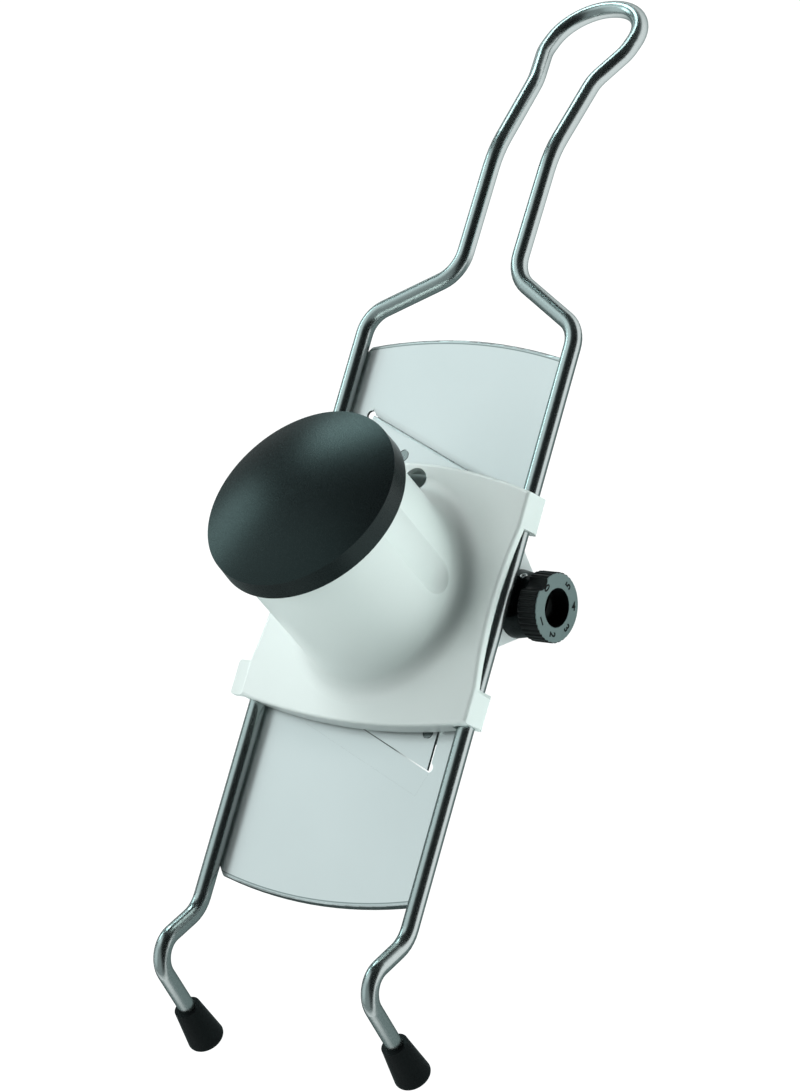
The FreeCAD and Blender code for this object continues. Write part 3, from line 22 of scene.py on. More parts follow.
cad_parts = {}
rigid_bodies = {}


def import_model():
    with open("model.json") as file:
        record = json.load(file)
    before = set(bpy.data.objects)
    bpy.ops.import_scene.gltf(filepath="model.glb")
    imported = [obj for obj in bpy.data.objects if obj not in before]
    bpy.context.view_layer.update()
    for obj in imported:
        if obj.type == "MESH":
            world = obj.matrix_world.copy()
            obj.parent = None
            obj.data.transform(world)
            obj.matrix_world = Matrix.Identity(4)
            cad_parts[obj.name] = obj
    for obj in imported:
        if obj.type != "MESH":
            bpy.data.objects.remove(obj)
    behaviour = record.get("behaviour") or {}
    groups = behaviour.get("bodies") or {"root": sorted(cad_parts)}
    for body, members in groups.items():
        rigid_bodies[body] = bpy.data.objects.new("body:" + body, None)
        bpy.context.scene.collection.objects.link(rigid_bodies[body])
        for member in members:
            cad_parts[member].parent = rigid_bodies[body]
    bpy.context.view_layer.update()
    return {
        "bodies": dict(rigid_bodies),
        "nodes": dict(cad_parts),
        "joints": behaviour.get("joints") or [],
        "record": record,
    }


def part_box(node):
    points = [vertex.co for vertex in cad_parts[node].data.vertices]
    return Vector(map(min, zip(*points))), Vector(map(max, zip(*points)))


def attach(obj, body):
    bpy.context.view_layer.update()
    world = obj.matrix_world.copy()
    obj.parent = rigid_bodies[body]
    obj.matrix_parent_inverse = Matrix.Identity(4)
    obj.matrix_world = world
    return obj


LOG = logging.getLogger("mandoline")
Tone = tuple[float, float, float]

# A millimetre, in metres.
MM = 0.001
# From the dial's axis to the rail frame's origin along Y, in millimetres.
SHAFT_BEHIND = 49.45
# From the tray's top up to the plane of the rails' centre lines, in millimetres.
TRAY_LEVEL = 2.6
# Octaves of the fine marks and textures.
FINE_DETAIL = 3.0
# The middle part of a noise's values, which the roughness is spread over.
NOISE_MIDDLE = (0.3, 0.7)


class Body(Enum):
    """The rigid bodies that carry the new pieces."""

    FRAME = "frame"
    DIAL = "dial"


# --------------------------------------------------------------------------- frame of reference


@dataclass(frozen=True)
class RailFrame:
    """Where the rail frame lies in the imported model.

    Attributes:
        origin: The rail frame's origin, in metres.
        shaft: A point of the dial's axis, in rail-frame millimetres.
    """

    origin: Vector
    shaft: Vector

    @classmethod
    def from_model(cls, model: dict) -> RailFrame:
        """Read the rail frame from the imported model.


        Returns:
            The rail frame.
        """
        joints = {joint["name"]: joint for joint in model["joints"]}
        wire_low, wire_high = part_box("wire_frame")
        tray_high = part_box("tray")[1]
        shaft = Vector(joints["dial_turn"]["pos_m"])
        origin = Vector((
            (wire_low.x + wire_high.x) / 2,
            shaft.y + SHAFT_BEHIND * MM,
            tray_high.z + TRAY_LEVEL * MM,
        ))
        return cls(origin=origin, shaft=(shaft - origin) / MM)

    def place(self, x: float, y: float, z: float) -> Vector:
        """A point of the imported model.

        Args:
            x: The point's X, in rail-frame millimetres.
            y: Its Y.
            z: Its Z.

        Returns:
            The point, in metres.
        """
        return self.origin + Vector((x, y, z)) * MM


# --------------------------------------------------------------------------- node materials


class NodeGraph:
    """A material's node tree, with short methods for the nodes that the finishes use."""

    def __init__(self, name: str) -> None:
        """Start a material with a Principled shader.

        Args:
            name: The material's name.
        """
        self.material: Material = bpy.data.materials.new(name)
        self.material.use_nodes = True
        self.tree = self.material.node_tree
        self.tree.nodes.clear()
        self.output = self.tree.nodes.new("ShaderNodeOutputMaterial")
        self.shader = self.tree.nodes.new("ShaderNodeBsdfPrincipled")
        self.join(self.shader.outputs[0], self.output.inputs["Surface"])
        self.coordinates = self.tree.nodes.new("ShaderNodeTexCoord").outputs["Object"]

    def join(self, source: NodeSocket, target: NodeSocket) -> None:
        """Link two sockets.

        Args:
            source: The output.
            target: The input.
        """
        self.tree.links.new(source, target)

    def set(self, **values: float | Sequence[float]) -> None:
        """Set the shader's own sockets.

        Args:
            values: Each socket's value, by its name with underscores for spaces.
        """
        for key, value in values.items():
            self.shader.inputs[key.replace("_", " ")].default_value = value

    def stretched(self, scale: Sequence[float]) -> NodeSocket:
        """Object coordinates, scaled.

        Args:
            scale: Scale along each axis.

        Returns:
            The scaled coordinates.
        """
        mapping = self.tree.nodes.new("ShaderNodeMapping")
        mapping.inputs["Scale"].default_value = scale
        self.join(self.coordinates, mapping.inputs["Vector"])
        return mapping.outputs[0]

    def noise(self, scale: float, detail: float = 2.0,
              where: NodeSocket | None = None) -> NodeSocket:
        """Noise between 0 and 1.

        Args:
            scale: Features per metre.
            detail: Octaves.
            where: Coordinates, or the object's own.

        Returns:
            The noise value.
        """
        node = self.tree.nodes.new("ShaderNodeTexNoise")
        node.inputs["Scale"].default_value = scale
        node.inputs["Detail"].default_value = detail
        self.join(where or self.coordinates, node.inputs["Vector"])
        return node.outputs["Fac"]

    def remap(self, value: NodeSocket, low: float, high: float,
              source: tuple[float, float] = (0.0, 1.0)) -> NodeSocket:
        """Spread a value between two others.

        Args:
            value: The value.
            low: Result at the source's start.
            high: Result at the source's end.
            source: The value's own range.

        Returns:
            The spread value.
        """
        node = self.tree.nodes.new("ShaderNodeMapRange")
        node.inputs["From Min"].default_value = source[0]
        node.inputs["From Max"].default_value = source[1]
        node.inputs["To Min"].default_value = low
        node.inputs["To Max"].default_value = high
        self.join(value, node.inputs["Value"])
        return node.outputs[0]

    def mix(self, factor: NodeSocket, first: Sequence[float] | NodeSocket,
            second: Sequence[float] | NodeSocket) -> NodeSocket:
        """Mix two colours.

        Args:
            factor: Share of the second colour.
            first: Colour at 0, or the socket that gives it.
            second: Colour at 1, or the socket that gives it.

        Returns:
            The mixed colour.
        """
        node = self.tree.nodes.new("ShaderNodeMix")
        node.data_type = "RGBA"
        self.join(factor, node.inputs[0])
        for socket, colour in ((node.inputs[6], first), (node.inputs[7], second)):
            if isinstance(colour, NodeSocket):
                self.join(colour, socket)
            else:
                socket.default_value = (*colour, 1)
        return node.outputs[2]

    def times(self, first: NodeSocket, second: NodeSocket) -> NodeSocket:
        """Product of two values.

        Args:
            first: One value.
            second: The other.

        Returns:
            The product.
        """
        node = self.tree.nodes.new("ShaderNodeMath")
        node.operation = "MULTIPLY"
        self.join(first, node.inputs[0])
        self.join(second, node.inputs[1])
        return node.outputs[0]

    def part(self, vector: NodeSocket, axis: int) -> NodeSocket:
        """One coordinate of a vector.

        Args:
            vector: The vector.
            axis: 0, 1 or 2.

        Returns:
            The coordinate.
        """
        node = self.tree.nodes.new("ShaderNodeSeparateXYZ")
        self.join(vector, node.inputs[0])
        return node.outputs[axis]

    def facing(self, axis: int, start: float, end: float) -> NodeSocket:
        """Share of a surface that faces along an axis, either way.

        Args:
            axis: 0, 1 or 2.
            start: The normal's part along the axis at which the share is 0.
            end: The part at which the share is 1.

        Returns:
            The share.
        """
        normal = self.tree.nodes.new("ShaderNodeTexCoord").outputs["Normal"]
        size = self.tree.nodes.new("ShaderNodeMath")
        size.operation = "ABSOLUTE"
        self.join(self.part(normal, axis), size.inputs[0])
        return self.remap(size.outputs[0], 0.0, 1.0, (start, end))

    def band(self, value: NodeSocket, low: float, high: float, soft: float) -> NodeSocket:
        """Share of a value that lies between two levels.

        Args:
            value: The value.
            low: The lower level.
            high: The upper level.
            soft: Width of the band's soft edges.

        Returns:
            1 in the band, 0 outside it.
        """
        return self.times(self.remap(value, 0.0, 1.0, (low - soft, low)),
                          self.remap(value, 1.0, 0.0, (high, high + soft)))

    def distance(self, centre: Sequence[float]) -> NodeSocket:
        """Distance of the object coordinates from a point.

        Args:
            centre: The point.

        Returns:
            The distance.
        """
        node = self.tree.nodes.new("ShaderNodeVectorMath")
        node.operation = "DISTANCE"
        node.inputs[1].default_value = centre
        self.join(self.coordinates, node.inputs[0])
        return node.outputs["Value"]

    def bump(self, height: NodeSocket, distance: float) -> None:
        """Raise the surface by a height field.

        Args:
            height: The height, 0 to 1.
            distance: Its depth in metres.
        """
        node = self.tree.nodes.new("ShaderNodeBump")
        node.inputs["Distance"].default_value = distance
        node.inputs["Strength"].default_value = 1.0
        self.join(height, node.inputs["Height"])
        self.join(node.outputs[0], self.shader.inputs["Normal"])

    def emission(self, colour: Tone, strength: float) -> NodeSocket:
        """A plainly glowing surface.

        Args:
            colour: Its colour.
            strength: Its strength, at which 1 is white.

        Returns:
            The shader's output.
        """
        node = self.tree.nodes.new("ShaderNodeEmission")
        node.inputs["Color"].default_value = (*colour, 1)
        node.inputs["Strength"].default_value = strength
        return node.outputs[0]

    def mix_shaders(self, share: NodeSocket, first: NodeSocket,
                    second: NodeSocket) -> NodeSocket:
        """Mix two shaders.

        Args:
            share: Share of the second shader.
            first: The first shader.
            second: The second shader.

        Returns:
            The mixed shader.
        """
        node = self.tree.nodes.new("ShaderNodeMixShader")
        self.join(share, node.inputs["Fac"])
        self.join(first, node.inputs[1])
        self.join(second, node.inputs[2])
        return node.outputs[0]


@dataclass(frozen=True)
class Steel:
    """Bare stainless steel.

    Attributes:
        name: The material's name.
        tone: Reflectance at its palest.
        shade: Reflectance at its darkest.
        smooth: Roughness where it is smoothest.
        rough: Roughness where it is roughest.
        grain: Scale of the finishing marks, per metre along X, Y and Z.
        depth: Depth of the marks, in metres.
        edge: Tint of the reflection at a glancing angle.
        metal: Weight of the mirroring against the plain scattering.
        dull: Colour painted on sides and bevels that face away from up, as painted shade, if
            any.
        level: Upward parts of the normal between which the painted side shade gives way to the
            face's own colour.
        clouds: Scale of the soft clouds between tone and shade, per metre.
    """

    name: str
    tone: Tone
    shade: Tone
    smooth: float
    rough: float
    grain: tuple[float, float, float]
    depth: float
    edge: Tone = (1.0, 1.0, 1.0)
    metal: float = 1.0
    dull: Tone | None = None
    level: tuple[float, float] = (0.3, 0.6)
    clouds: float = 35.0

    def make(self) -> Material:
        """Build the node material.

        Returns:
            The material.
        """
        graph, colour = self.start(self.name)
        graph.join(colour, graph.shader.inputs["Base Color"])
        return graph.material

    def start(self, name: str) -> tuple[NodeGraph, NodeSocket]:
        """Build the node material up to its colour.

        Args:
            name: The material's name.

        Returns:
            The node graph, and its colour, which isn't joined yet.
        """
        graph = NodeGraph(name)
        marks = graph.noise(1.0, FINE_DETAIL, graph.stretched(self.grain))
        clouds = graph.noise(self.clouds)
        graph.set(Metallic=self.metal, Specular_Tint=(*self.edge, 1))
        colour = graph.mix(clouds, self.tone, self.shade)
        # Painted shade: cut sides, bevels and slit walls, which face sideways, are painted
        # darker.
        if self.dull:
            colour = graph.mix(graph.facing(2, *self.level), self.dull, colour)
        graph.join(graph.remap(marks, self.smooth, self.rough, NOISE_MIDDLE),
                   graph.shader.inputs["Roughness"])
        graph.bump(marks, self.depth)
        return graph, colour


@dataclass(frozen=True)
class LippedSheet:
    """The tray's polished sheet, with the shading of the lips that its arched ends turn down.

    Attributes:
        rails: Where the rail frame lies.
        sheet: The flat sheet's finish.
        ends: Each end's arc: its middle along Y and its radius, in rail-frame millimetres.
        lip: Width of a lip.
        line: Width of the painted dark lines at its fold and at its edge.
        soft: Width of the lines' soft borders.
        lip_tone: Colour painted over the lip, darker than the sheet, as painted shade.
        fold_tone: Colour of the painted shade line at the fold.
        edge_tone: Colour of the painted shade line at the edge.
    """

    rails: RailFrame
    sheet: Steel
    ends: tuple[tuple[float, float], ...] = ((-161.0, 200.0), (26.5, 190.0))
    lip: float = 1.25
    line: float = 0.28
    soft: float = 0.12
    lip_tone: Tone = (0.62, 0.68, 0.68)
    fold_tone: Tone = (0.30, 0.35, 0.35)
    edge_tone: Tone = (0.12, 0.15, 0.15)

    def make(self) -> Material:
        """Build the node material.

        Returns:
            The material.
        """
        graph, colour = self.sheet.start("tray_sheet_painted_bend_shade")
        soft, line = self.soft * MM, self.line * MM
        # Painted shade at each arched end: a darker band over the lip, then dark lines at its
        # fold and at its edge.
        for middle, radius in self.ends:
            out = graph.distance(self.rails.place(0, middle, -TRAY_LEVEL))
            rim, fold = radius * MM, (radius - self.lip) * MM
            colour = graph.mix(graph.band(out, fold, rim + soft, soft), colour, self.lip_tone)
            colour = graph.mix(graph.band(out, fold - line, fold, soft), colour, self.fold_tone)
            colour = graph.mix(graph.band(out, rim - line, rim + soft, soft), colour,
                               self.edge_tone)
        graph.join(colour, graph.shader.inputs["Base Color"])
        return graph.material


@dataclass(frozen=True)
class Moulding:
    """Moulded plastic or rubber with a fine surface texture.

    Attributes:
        name: The material's name.
        tone: Base colour.
        drift: Colour that the base drifts to, in soft clouds.
        rough: Mean roughness.
        grain: Texture features per metre.
        depth: Texture depth, in metres.
        gloss: Weight of a thin clear skin.
        glow: Weight of light scattered under the surface.
        sheen: Level of the surface's own reflection.
        tint: Tint of that reflection.
        spread: How far the roughness departs from its mean.
        clouds: Scale of the soft clouds between tone and drift, per metre.
        skin_rough: Roughness of the clear skin.
        glow_depth: How far light scatters under the surface, in metres.
    """

    name: str
    tone: Tone
    drift: Tone
    rough: float
    grain: float
    depth: float
    gloss: float = 0.0
    glow: float = 0.0
    sheen: float = 0.5
    tint: Tone = (1.0, 1.0, 1.0)
    spread: float = 0.06
    clouds: float = 60.0
    skin_rough: float = 0.25
    glow_depth: float = 0.002

    def make(self) -> Material:
        """Build the node material.

        Returns:
            The material.
        """
        graph = NodeGraph(self.name)
        texture = graph.noise(self.grain, FINE_DETAIL)
        clouds = graph.noise(self.clouds, FINE_DETAIL)
        graph.set(Coat_Weight=self.gloss, Coat_Roughness=self.skin_rough,
                  Subsurface_Weight=self.glow, Subsurface_Scale=self.glow_depth,
                  Specular_IOR_Level=self.sheen, Specular_Tint=(*self.tint, 1))
        graph.join(graph.mix(clouds, self.tone, self.drift), graph.shader.inputs["Base Color"])
        graph.join(graph.remap(texture, self.rough - self.spread, self.rough + self.spread,
                               NOISE_MIDDLE), graph.shader.inputs["Roughness"])
        graph.bump(texture, self.depth)
        return graph.material


class Finish(Enum):
    """Every finish on the slicer."""

    WIRE = Steel("satin_wire", (0.61, 0.68, 0.675), (0.57, 0.64, 0.635), 0.24, 0.27,
                 (900, 120, 900), 0.000001, edge=(0.25, 0.28, 0.28))
    # Sides and bevels of the sheet, the blade and the rivets below get a painted side shade.
    SHEET = Steel("polished_sheet", (0.80, 0.845, 0.845), (0.77, 0.815, 0.815), 0.28, 0.32,
                  (2500, 90, 900), 0.0000006, edge=(0.3, 0.33, 0.33), metal=0.75,
                  dull=(0.05, 0.056, 0.056))
    BLADE = Steel("ground_blade", (0.80, 0.845, 0.845), (0.77, 0.815, 0.815), 0.28, 0.32,
                  (2500, 90, 900), 0.0000006, edge=(0.3, 0.33, 0.33), metal=0.75,
                  dull=(0.05, 0.056, 0.056), level=(0.9, 0.985))
    RIVET = Steel("rivet_steel", (0.40, 0.44, 0.44), (0.34, 0.38, 0.38), 0.24, 0.32,
                  (600, 600, 600), 0.000003, dull=(0.04, 0.045, 0.045), level=(0.9, 0.985))
    BRACKET = Steel("bracket_steel", (0.60, 0.62, 0.62), (0.5, 0.52, 0.52), 0.22, 0.34,
                    (300, 300, 300), 0.00001)
    EAR = Steel("satin_ear", (0.80, 0.84, 0.84), (0.74, 0.78, 0.78), 0.4, 0.5,
                (400, 400, 400), 0.000004, metal=0.3)
    FASTENER = Steel("fastener_steel", (0.62, 0.64, 0.64), (0.52, 0.54, 0.54), 0.18, 0.3,
                     (400, 400, 400), 0.000006)
    EYELET = Steel("polished_eyelet", (0.72, 0.74, 0.74), (0.68, 0.70, 0.70), 0.08, 0.12,
                   (400, 400, 400), 0.000002)
    # Near black, so the dial's recess that the screw sits in reads dark.
    BLACKENED = Steel("near_black_screw", (0.03, 0.032, 0.032), (0.02, 0.022, 0.022), 0.35, 0.5,
                      (500, 500, 500), 0.000006)
    WHITE = Moulding("white_moulding", (0.68, 0.745, 0.725), (0.665, 0.73, 0.71), 0.34, 5200,
                     0.000006, gloss=0.15)
    CAP = Moulding("grained_black_cap", (0.003, 0.004, 0.0043), (0.004, 0.0053, 0.0056), 0.29,
                   4200, 0.000004, sheen=0.32, tint=(0.66, 1.0, 0.98))
    DIAL = Moulding("dial_black", (0.003, 0.004, 0.0043), (0.004, 0.0053, 0.0056), 0.3, 3200,
                    0.000015, sheen=0.16, tint=(0.8, 1.0, 0.99))
    NUMERAL = Moulding("numeral_black", (0.004, 0.005, 0.005), (0.006, 0.007, 0.007), 0.5, 3000,
                       0.000005, sheen=0.1)
    RUBBER = Moulding("foot_rubber", (0.004, 0.005, 0.0053), (0.006, 0.0073, 0.0076), 0.32, 1800,
                      0.00003, sheen=0.09, tint=(0.8, 1.0, 0.99))
    NYLON = Moulding("bearing_nylon", (0.72, 0.70, 0.64), (0.66, 0.64, 0.58), 0.42, 2400,
                     0.00001, glow=0.1)


class Palette:
    """The finishes as materials, each built once."""

    def __init__(self) -> None:
        """Start with nothing built."""
        self._made: dict[Finish, Material] = {}

    def __getitem__(self, finish: Finish) -> Material:
        """The material of a finish.

        Args:
            finish: The finish.

        Returns:
            The material.
        """
        if finish not in self._made:
            self._made[finish] = finish.value.make()
        return self._made[finish]


# Every node but the tray and the dial's knob, which get materials of their own.
CAD_FINISHES: dict[str, Finish] = {
    "wire_frame": Finish.WIRE,
    "foot_cap_left": Finish.RUBBER,
    "foot_cap_right": Finish.RUBBER,
    "tray_welds": Finish.FASTENER,
    "blade": Finish.BLADE,
    "blade_clamp_bar": Finish.BRACKET,
    "blade_rivets": Finish.RIVET,
    "tray_hinge_leaves": Finish.BRACKET,
    "platform_hinge_leaves": Finish.BRACKET,
    "hinge_pin": Finish.FASTENER,
    "inner_bearing_ear": Finish.EAR,
    "outer_bearing_ear": Finish.EAR,
    "shaft_bushes": Finish.NYLON,
    "dial_housing": Finish.DIAL,
    "housing_screws": Finish.FASTENER,
    "feed_platform": Finish.SHEET,
    "platform_ribs": Finish.BRACKET,
    "platform_rivets": Finish.RIVET,
    "follower_pads": Finish.NYLON,
    "cam_shaft": Finish.FASTENER,
    "lift_cams": Finish.NYLON,
    "cam_pins": Finish.FASTENER,
    "shaft_clip": Finish.FASTENER,
    "dial_screw": Finish.BLACKENED,
    "carriage": Finish.WHITE,
    "pusher_cap": Finish.CAP,
    "pusher_cup": Finish.WHITE,
    "pusher_prongs": Finish.FASTENER,
    "pusher_screw": Finish.FASTENER,
}


def dress(node: Object, material: Material) -> None:
    """Give a CAD node one material all over.

    Args:
        node: The node.
        material: The material.
    """
    slots = node.data.materials
    if not slots:
        slots.append(material)
    for index in range(len(slots)):
        slots[index] = material


def dress_cad_nodes(nodes: dict[str, Object], rails: RailFrame, palette: Palette) -> None:
    """Give each CAD node its finish, but for the dial's knob, which Dial dresses.

    Args:
        nodes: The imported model's nodes.
        rails: Where the rail frame lies.
        palette: The finishes.
    """
    for name, finish in CAD_FINISHES.items():
        dress(nodes[name], palette[finish])
    dress(nodes["tray"], LippedSheet(rails, Finish.SHEET.value).make())


# --------------------------------------------------------------------------- new pieces


def add_piece(name: str, form: bmesh.types.BMesh, place: Matrix, body: Body,
              material: Material) -> None:
    """Make an object of a form, and let it ride on a body.

    Args:
        name: The piece's name.
        form: Its form, in millimetres about its own middle. It is freed.
        place: Its turn and its middle's place in the model, in metres.
        body: The body that carries it.
        material: Its material.
    """
    bmesh.ops.transform(form, verts=form.verts, matrix=place @ Matrix.Scale(MM, 4))
    bmesh.ops.recalc_face_normals(form, faces=form.faces)
    mesh: Mesh = bpy.data.meshes.new(name)
    form.to_mesh(mesh)
    form.free()
    mesh.materials.append(material)
    piece = bpy.data.objects.new(name, mesh)
    bpy.context.scene.collection.objects.link(piece)
    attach(piece, body.value)
    LOG.info("%s: %d faces on %s", name, len(mesh.polygons), body.value)


@dataclass(frozen=True)
class Dial:
    """The thickness dial's face, painted paler than its black sides as painted light, with its
    numbers, and the eyelet that they turn past.

    Attributes:
        rails: Where the rail frame lies.
        palette: The finishes.
        places: Each number's direction from the dial's axis, in degrees from +Y towards +Z.
        circle: Distance of the numbers' middles from the axis.
        number_height: Height of a number.
        number_width: A number's width, as a share of the typeface's own.
        number_weight: How much bolder a number is than the typeface, in its heights.
        number_proud: How far a number stands proud of the face.
        number_depth: Depth of a number's solid, most of it let into the face.
        number_steps: Straight steps in each curve of a number.
        number_weld: Gap at which two points of a number are one, in its heights.
        face_skin: Depth of the face's painted light.
        face_border: Where the face's border starts to turn black, as a share of the skin.
        side_tones: Base colours of the black sides.
        side_clouds: Scale of the clouds between them, per metre.
        face_tones: Paler colours painted on the face as painted light.
        face_clouds: Scale of the clouds between them, per metre.
        grain: Texture features per metre.
        grain_depth: Depth of the texture, in metres.
        rough: The knob's least and greatest roughness.
        sheen: Level of the knob's own reflection.
        eyelet_place: The eyelet's place along X.
        eyelet_turn: Its direction from the axis, in degrees from +Y towards +Z.
        eyelet_out: Its distance from the axis.
        eyelet_radius: Radius of its ring.
        eyelet_wire: Radius of its ring's section.
        eyelet_steps: Steps round its section and round its ring.
        eyelet_weld: Gap at which two of its points are one.
    """

    rails: RailFrame
    palette: Palette
    places: tuple[float, ...] = (62.0, 138.0, 189.5, 241.0, 292.5, 344.0)
    circle: float = 9.1
    number_height: float = 3.2
    number_width: float = 0.9
    number_weight: float = 0.035
    number_proud: float = 0.02
    number_depth: float = 0.3
    number_steps: int = 6
    number_weld: float = 1e-5
    face_skin: float = 0.25
    face_border: float = 0.9
    side_tones: tuple[Tone, Tone] = ((0.003, 0.004, 0.0043), (0.005, 0.0063, 0.0066))
    side_clouds: float = 60.0
    face_tones: tuple[Tone, Tone] = ((0.12, 0.165, 0.163), (0.105, 0.15, 0.148))
    face_clouds: float = 90.0
    grain: float = 3200.0
    grain_depth: float = 0.000012
    rough: tuple[float, float] = (0.26, 0.38)
    sheen: float = 0.22
    eyelet_place: float = 47.1
    eyelet_turn: float = 45.0
    eyelet_out: float = 10.95
    eyelet_radius: float = 1.1
    eyelet_wire: float = 0.3
    eyelet_steps: tuple[int, int] = (16, 32)
    eyelet_weld: float = 1e-4

    def build(self, nodes: dict[str, Object]) -> None:
        """Dress the knob and add the numbers and the eyelet.

        Args:
            nodes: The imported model's nodes.
        """
        self._dress_face(nodes["dial_knob"])
        for number, turn in enumerate(self.places):
            self._add_number(number, turn)
        self._add_eyelet()

    def _face(self) -> float:
        """Where the knob's face lies.

        Returns:
            Its place along X, in the model's metres.
        """
        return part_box("dial_knob")[1].x

    def _spot(self, turn: float, out: float, x: float) -> tuple[Vector, Vector]:
        """A spot about the dial's axis.

        Args:
            turn: Its direction from the axis, in degrees from +Y towards +Z.
            out: Its distance from the axis.
            x: Its place along X.

        Returns:
            The direction and the spot, which is in the model's metres.
        """
        angle = math.radians(turn)
        outward = Vector((0, math.cos(angle), math.sin(angle)))
        axis = Vector((x, self.rails.shaft.y, self.rails.shaft.z))
        return outward, self.rails.place(*(axis + outward * out))

    def _dress_face(self, knob: Object) -> None:
        """Give the knob black sides and a satin face painted paler, as painted light on it.

        Args:
            knob: The knob's node.
        """
        graph = NodeGraph("dial_knob_black_painted_lit_face")
        grain = graph.noise(self.grain, FINE_DETAIL)
        # Painted light: the knob's face, its outermost skin along X, is painted paler than its
        # black sides.
        level = graph.part(graph.coordinates, 0)
        depth = self.face_skin * MM
        share = graph.remap(level, 0.0, 1.0, (self._face() - depth,
                                              self._face() - depth * self.face_border))
        side = graph.mix(graph.noise(self.side_clouds), *self.side_tones)
        face = graph.mix(graph.noise(self.face_clouds), *self.face_tones)
        graph.join(graph.mix(share, side, face), graph.shader.inputs["Base Color"])
        graph.join(graph.remap(grain, *self.rough, NOISE_MIDDLE),
                   graph.shader.inputs["Roughness"])
        graph.set(Specular_IOR_Level=self.sheen)
        graph.bump(grain, self.grain_depth)
        dress(knob, graph.material)

    def _number_form(self, number: int) -> bmesh.types.BMesh:
        """A number's solid, upright in the XY plane.

        Args:
            number: The number.

        Returns:
            Its form, in millimetres about its middle.
        """
        font = bpy.data.curves.new(f"digit_{number}", "FONT")
        font.body = str(number)
        font.align_x, font.align_y = "CENTER", "CENTER"
        # One unit high and one deep, until the form is scaled to its size below.
        font.size = 1.0
        font.extrude = 0.5
        font.offset = self.number_weight
        font.resolution_u = self.number_steps
        writing = bpy.data.objects.new(f"digit_{number}", font)
        mesh = bpy.data.meshes.new_from_object(writing)
        form = bmesh.new()
        form.from_mesh(mesh)
        for item, store in ((writing, bpy.data.objects), (font, bpy.data.curves),
                            (mesh, bpy.data.meshes)):
            store.remove(item)
        bmesh.ops.remove_doubles(form, verts=form.verts, dist=self.number_weld)
        low = Vector(min(vert.co[axis] for vert in form.verts) for axis in range(3))
        high = Vector(max(vert.co[axis] for vert in form.verts) for axis in range(3))
        bmesh.ops.translate(form, vec=-(low + high) / 2, verts=form.verts)
        tall = self.number_height / (high.y - low.y)
        bmesh.ops.scale(form, vec=(tall * self.number_width, tall, self.number_depth),
                        verts=form.verts)
        return form

    def _add_number(self, number: int, turn: float) -> None:
        """Add one number, with its top turned along the dial's edge.

        Args:
            number: The number.
            turn: Its direction from the axis, in degrees.
        """
        outward, middle = self._spot(turn, self.circle, 0)
        along_axis = Vector((1, 0, 0))
        turned = Matrix((outward, along_axis.cross(outward), along_axis)).transposed()
        middle.x = self._face() + (self.number_proud - self.number_depth / 2) * MM
        add_piece(f"dial_number_{number}", self._number_form(number),
                  Matrix.Translation(middle) @ turned.to_4x4(), Body.DIAL,
                  self.palette[Finish.NUMERAL])

    def _add_eyelet(self) -> None:
        """Add the polished eyelet let into the housing beside the dial."""
        form = bmesh.new()
        section, round_ring = self.eyelet_steps
        ring = bmesh.ops.create_circle(form, segments=section, radius=self.eyelet_wire,
                                       matrix=Matrix.Translation((self.eyelet_radius, 0, 0))
                                       @ Matrix.Rotation(math.pi / 2, 4, "X"))
        bmesh.ops.spin(form, geom=ring["verts"] + list(form.edges), cent=(0, 0, 0),
                       axis=(0, 0, 1), angle=math.tau, steps=round_ring, use_merge=True)
        bmesh.ops.remove_doubles(form, verts=form.verts, dist=self.eyelet_weld)
        outward, spot = self._spot(self.eyelet_turn, self.eyelet_out, self.eyelet_place)
        along_axis = Vector((1, 0, 0))
        turned = Matrix((along_axis, outward.cross(along_axis), outward)).transposed()
        add_piece("dial_eyelet", form, Matrix.Translation(spot) @ turned.to_4x4(), Body.FRAME,
                  self.palette[Finish.EYELET])


# --------------------------------------------------------------------------- studio


def direction(azimuth: float, elevation: float) -> Vector:
    """Unit vector of a direction.

    Args:
        azimuth: Degrees from +X towards +Y.
        elevation: Degrees above the horizon.

    Returns:
        The direction.
    """
    turn, rise = math.radians(azimuth), math.radians(elevation)
    return Vector((math.cos(turn) * math.cos(rise), math.sin(turn) * math.cos(rise),
                   math.sin(rise)))


@dataclass(frozen=True)
class Lamp:
    """A rectangular lamp that faces the slicer.

    Attributes:
        name: Its name.
        azimuth: Its direction from the slicer, in degrees from +X towards +Y.
        elevation: Its direction's height, in degrees.
        distance: Its distance from the slicer, in metres.
        size: Its width, in metres.
        height: Its height, in metres.
        power: Its power, in watts.
        mirrored: Whether it only makes highlights. If not, it only lights plain surfaces.
        colour: Its colour.
    """

    name: str
    azimuth: float
    elevation: float
    distance: float
    size: float
    height: float
    power: float
    mirrored: bool = False
    colour: Tone = (1.0, 1.0, 1.0)


@dataclass(frozen=True)
class Lobe:
    """A soft-edged round part of the surroundings.

    Attributes:
        azimuth: Its middle, in degrees from +X towards +Y.
        elevation: Its middle's height, in degrees.
        inner: Angle from the middle within which its level is whole, in degrees.
        outer: Angle from the middle beyond which it ends, in degrees.
        level: Its brightness.
    """

    azimuth: float
    elevation: float
    inner: float
    outer: float
    level: float


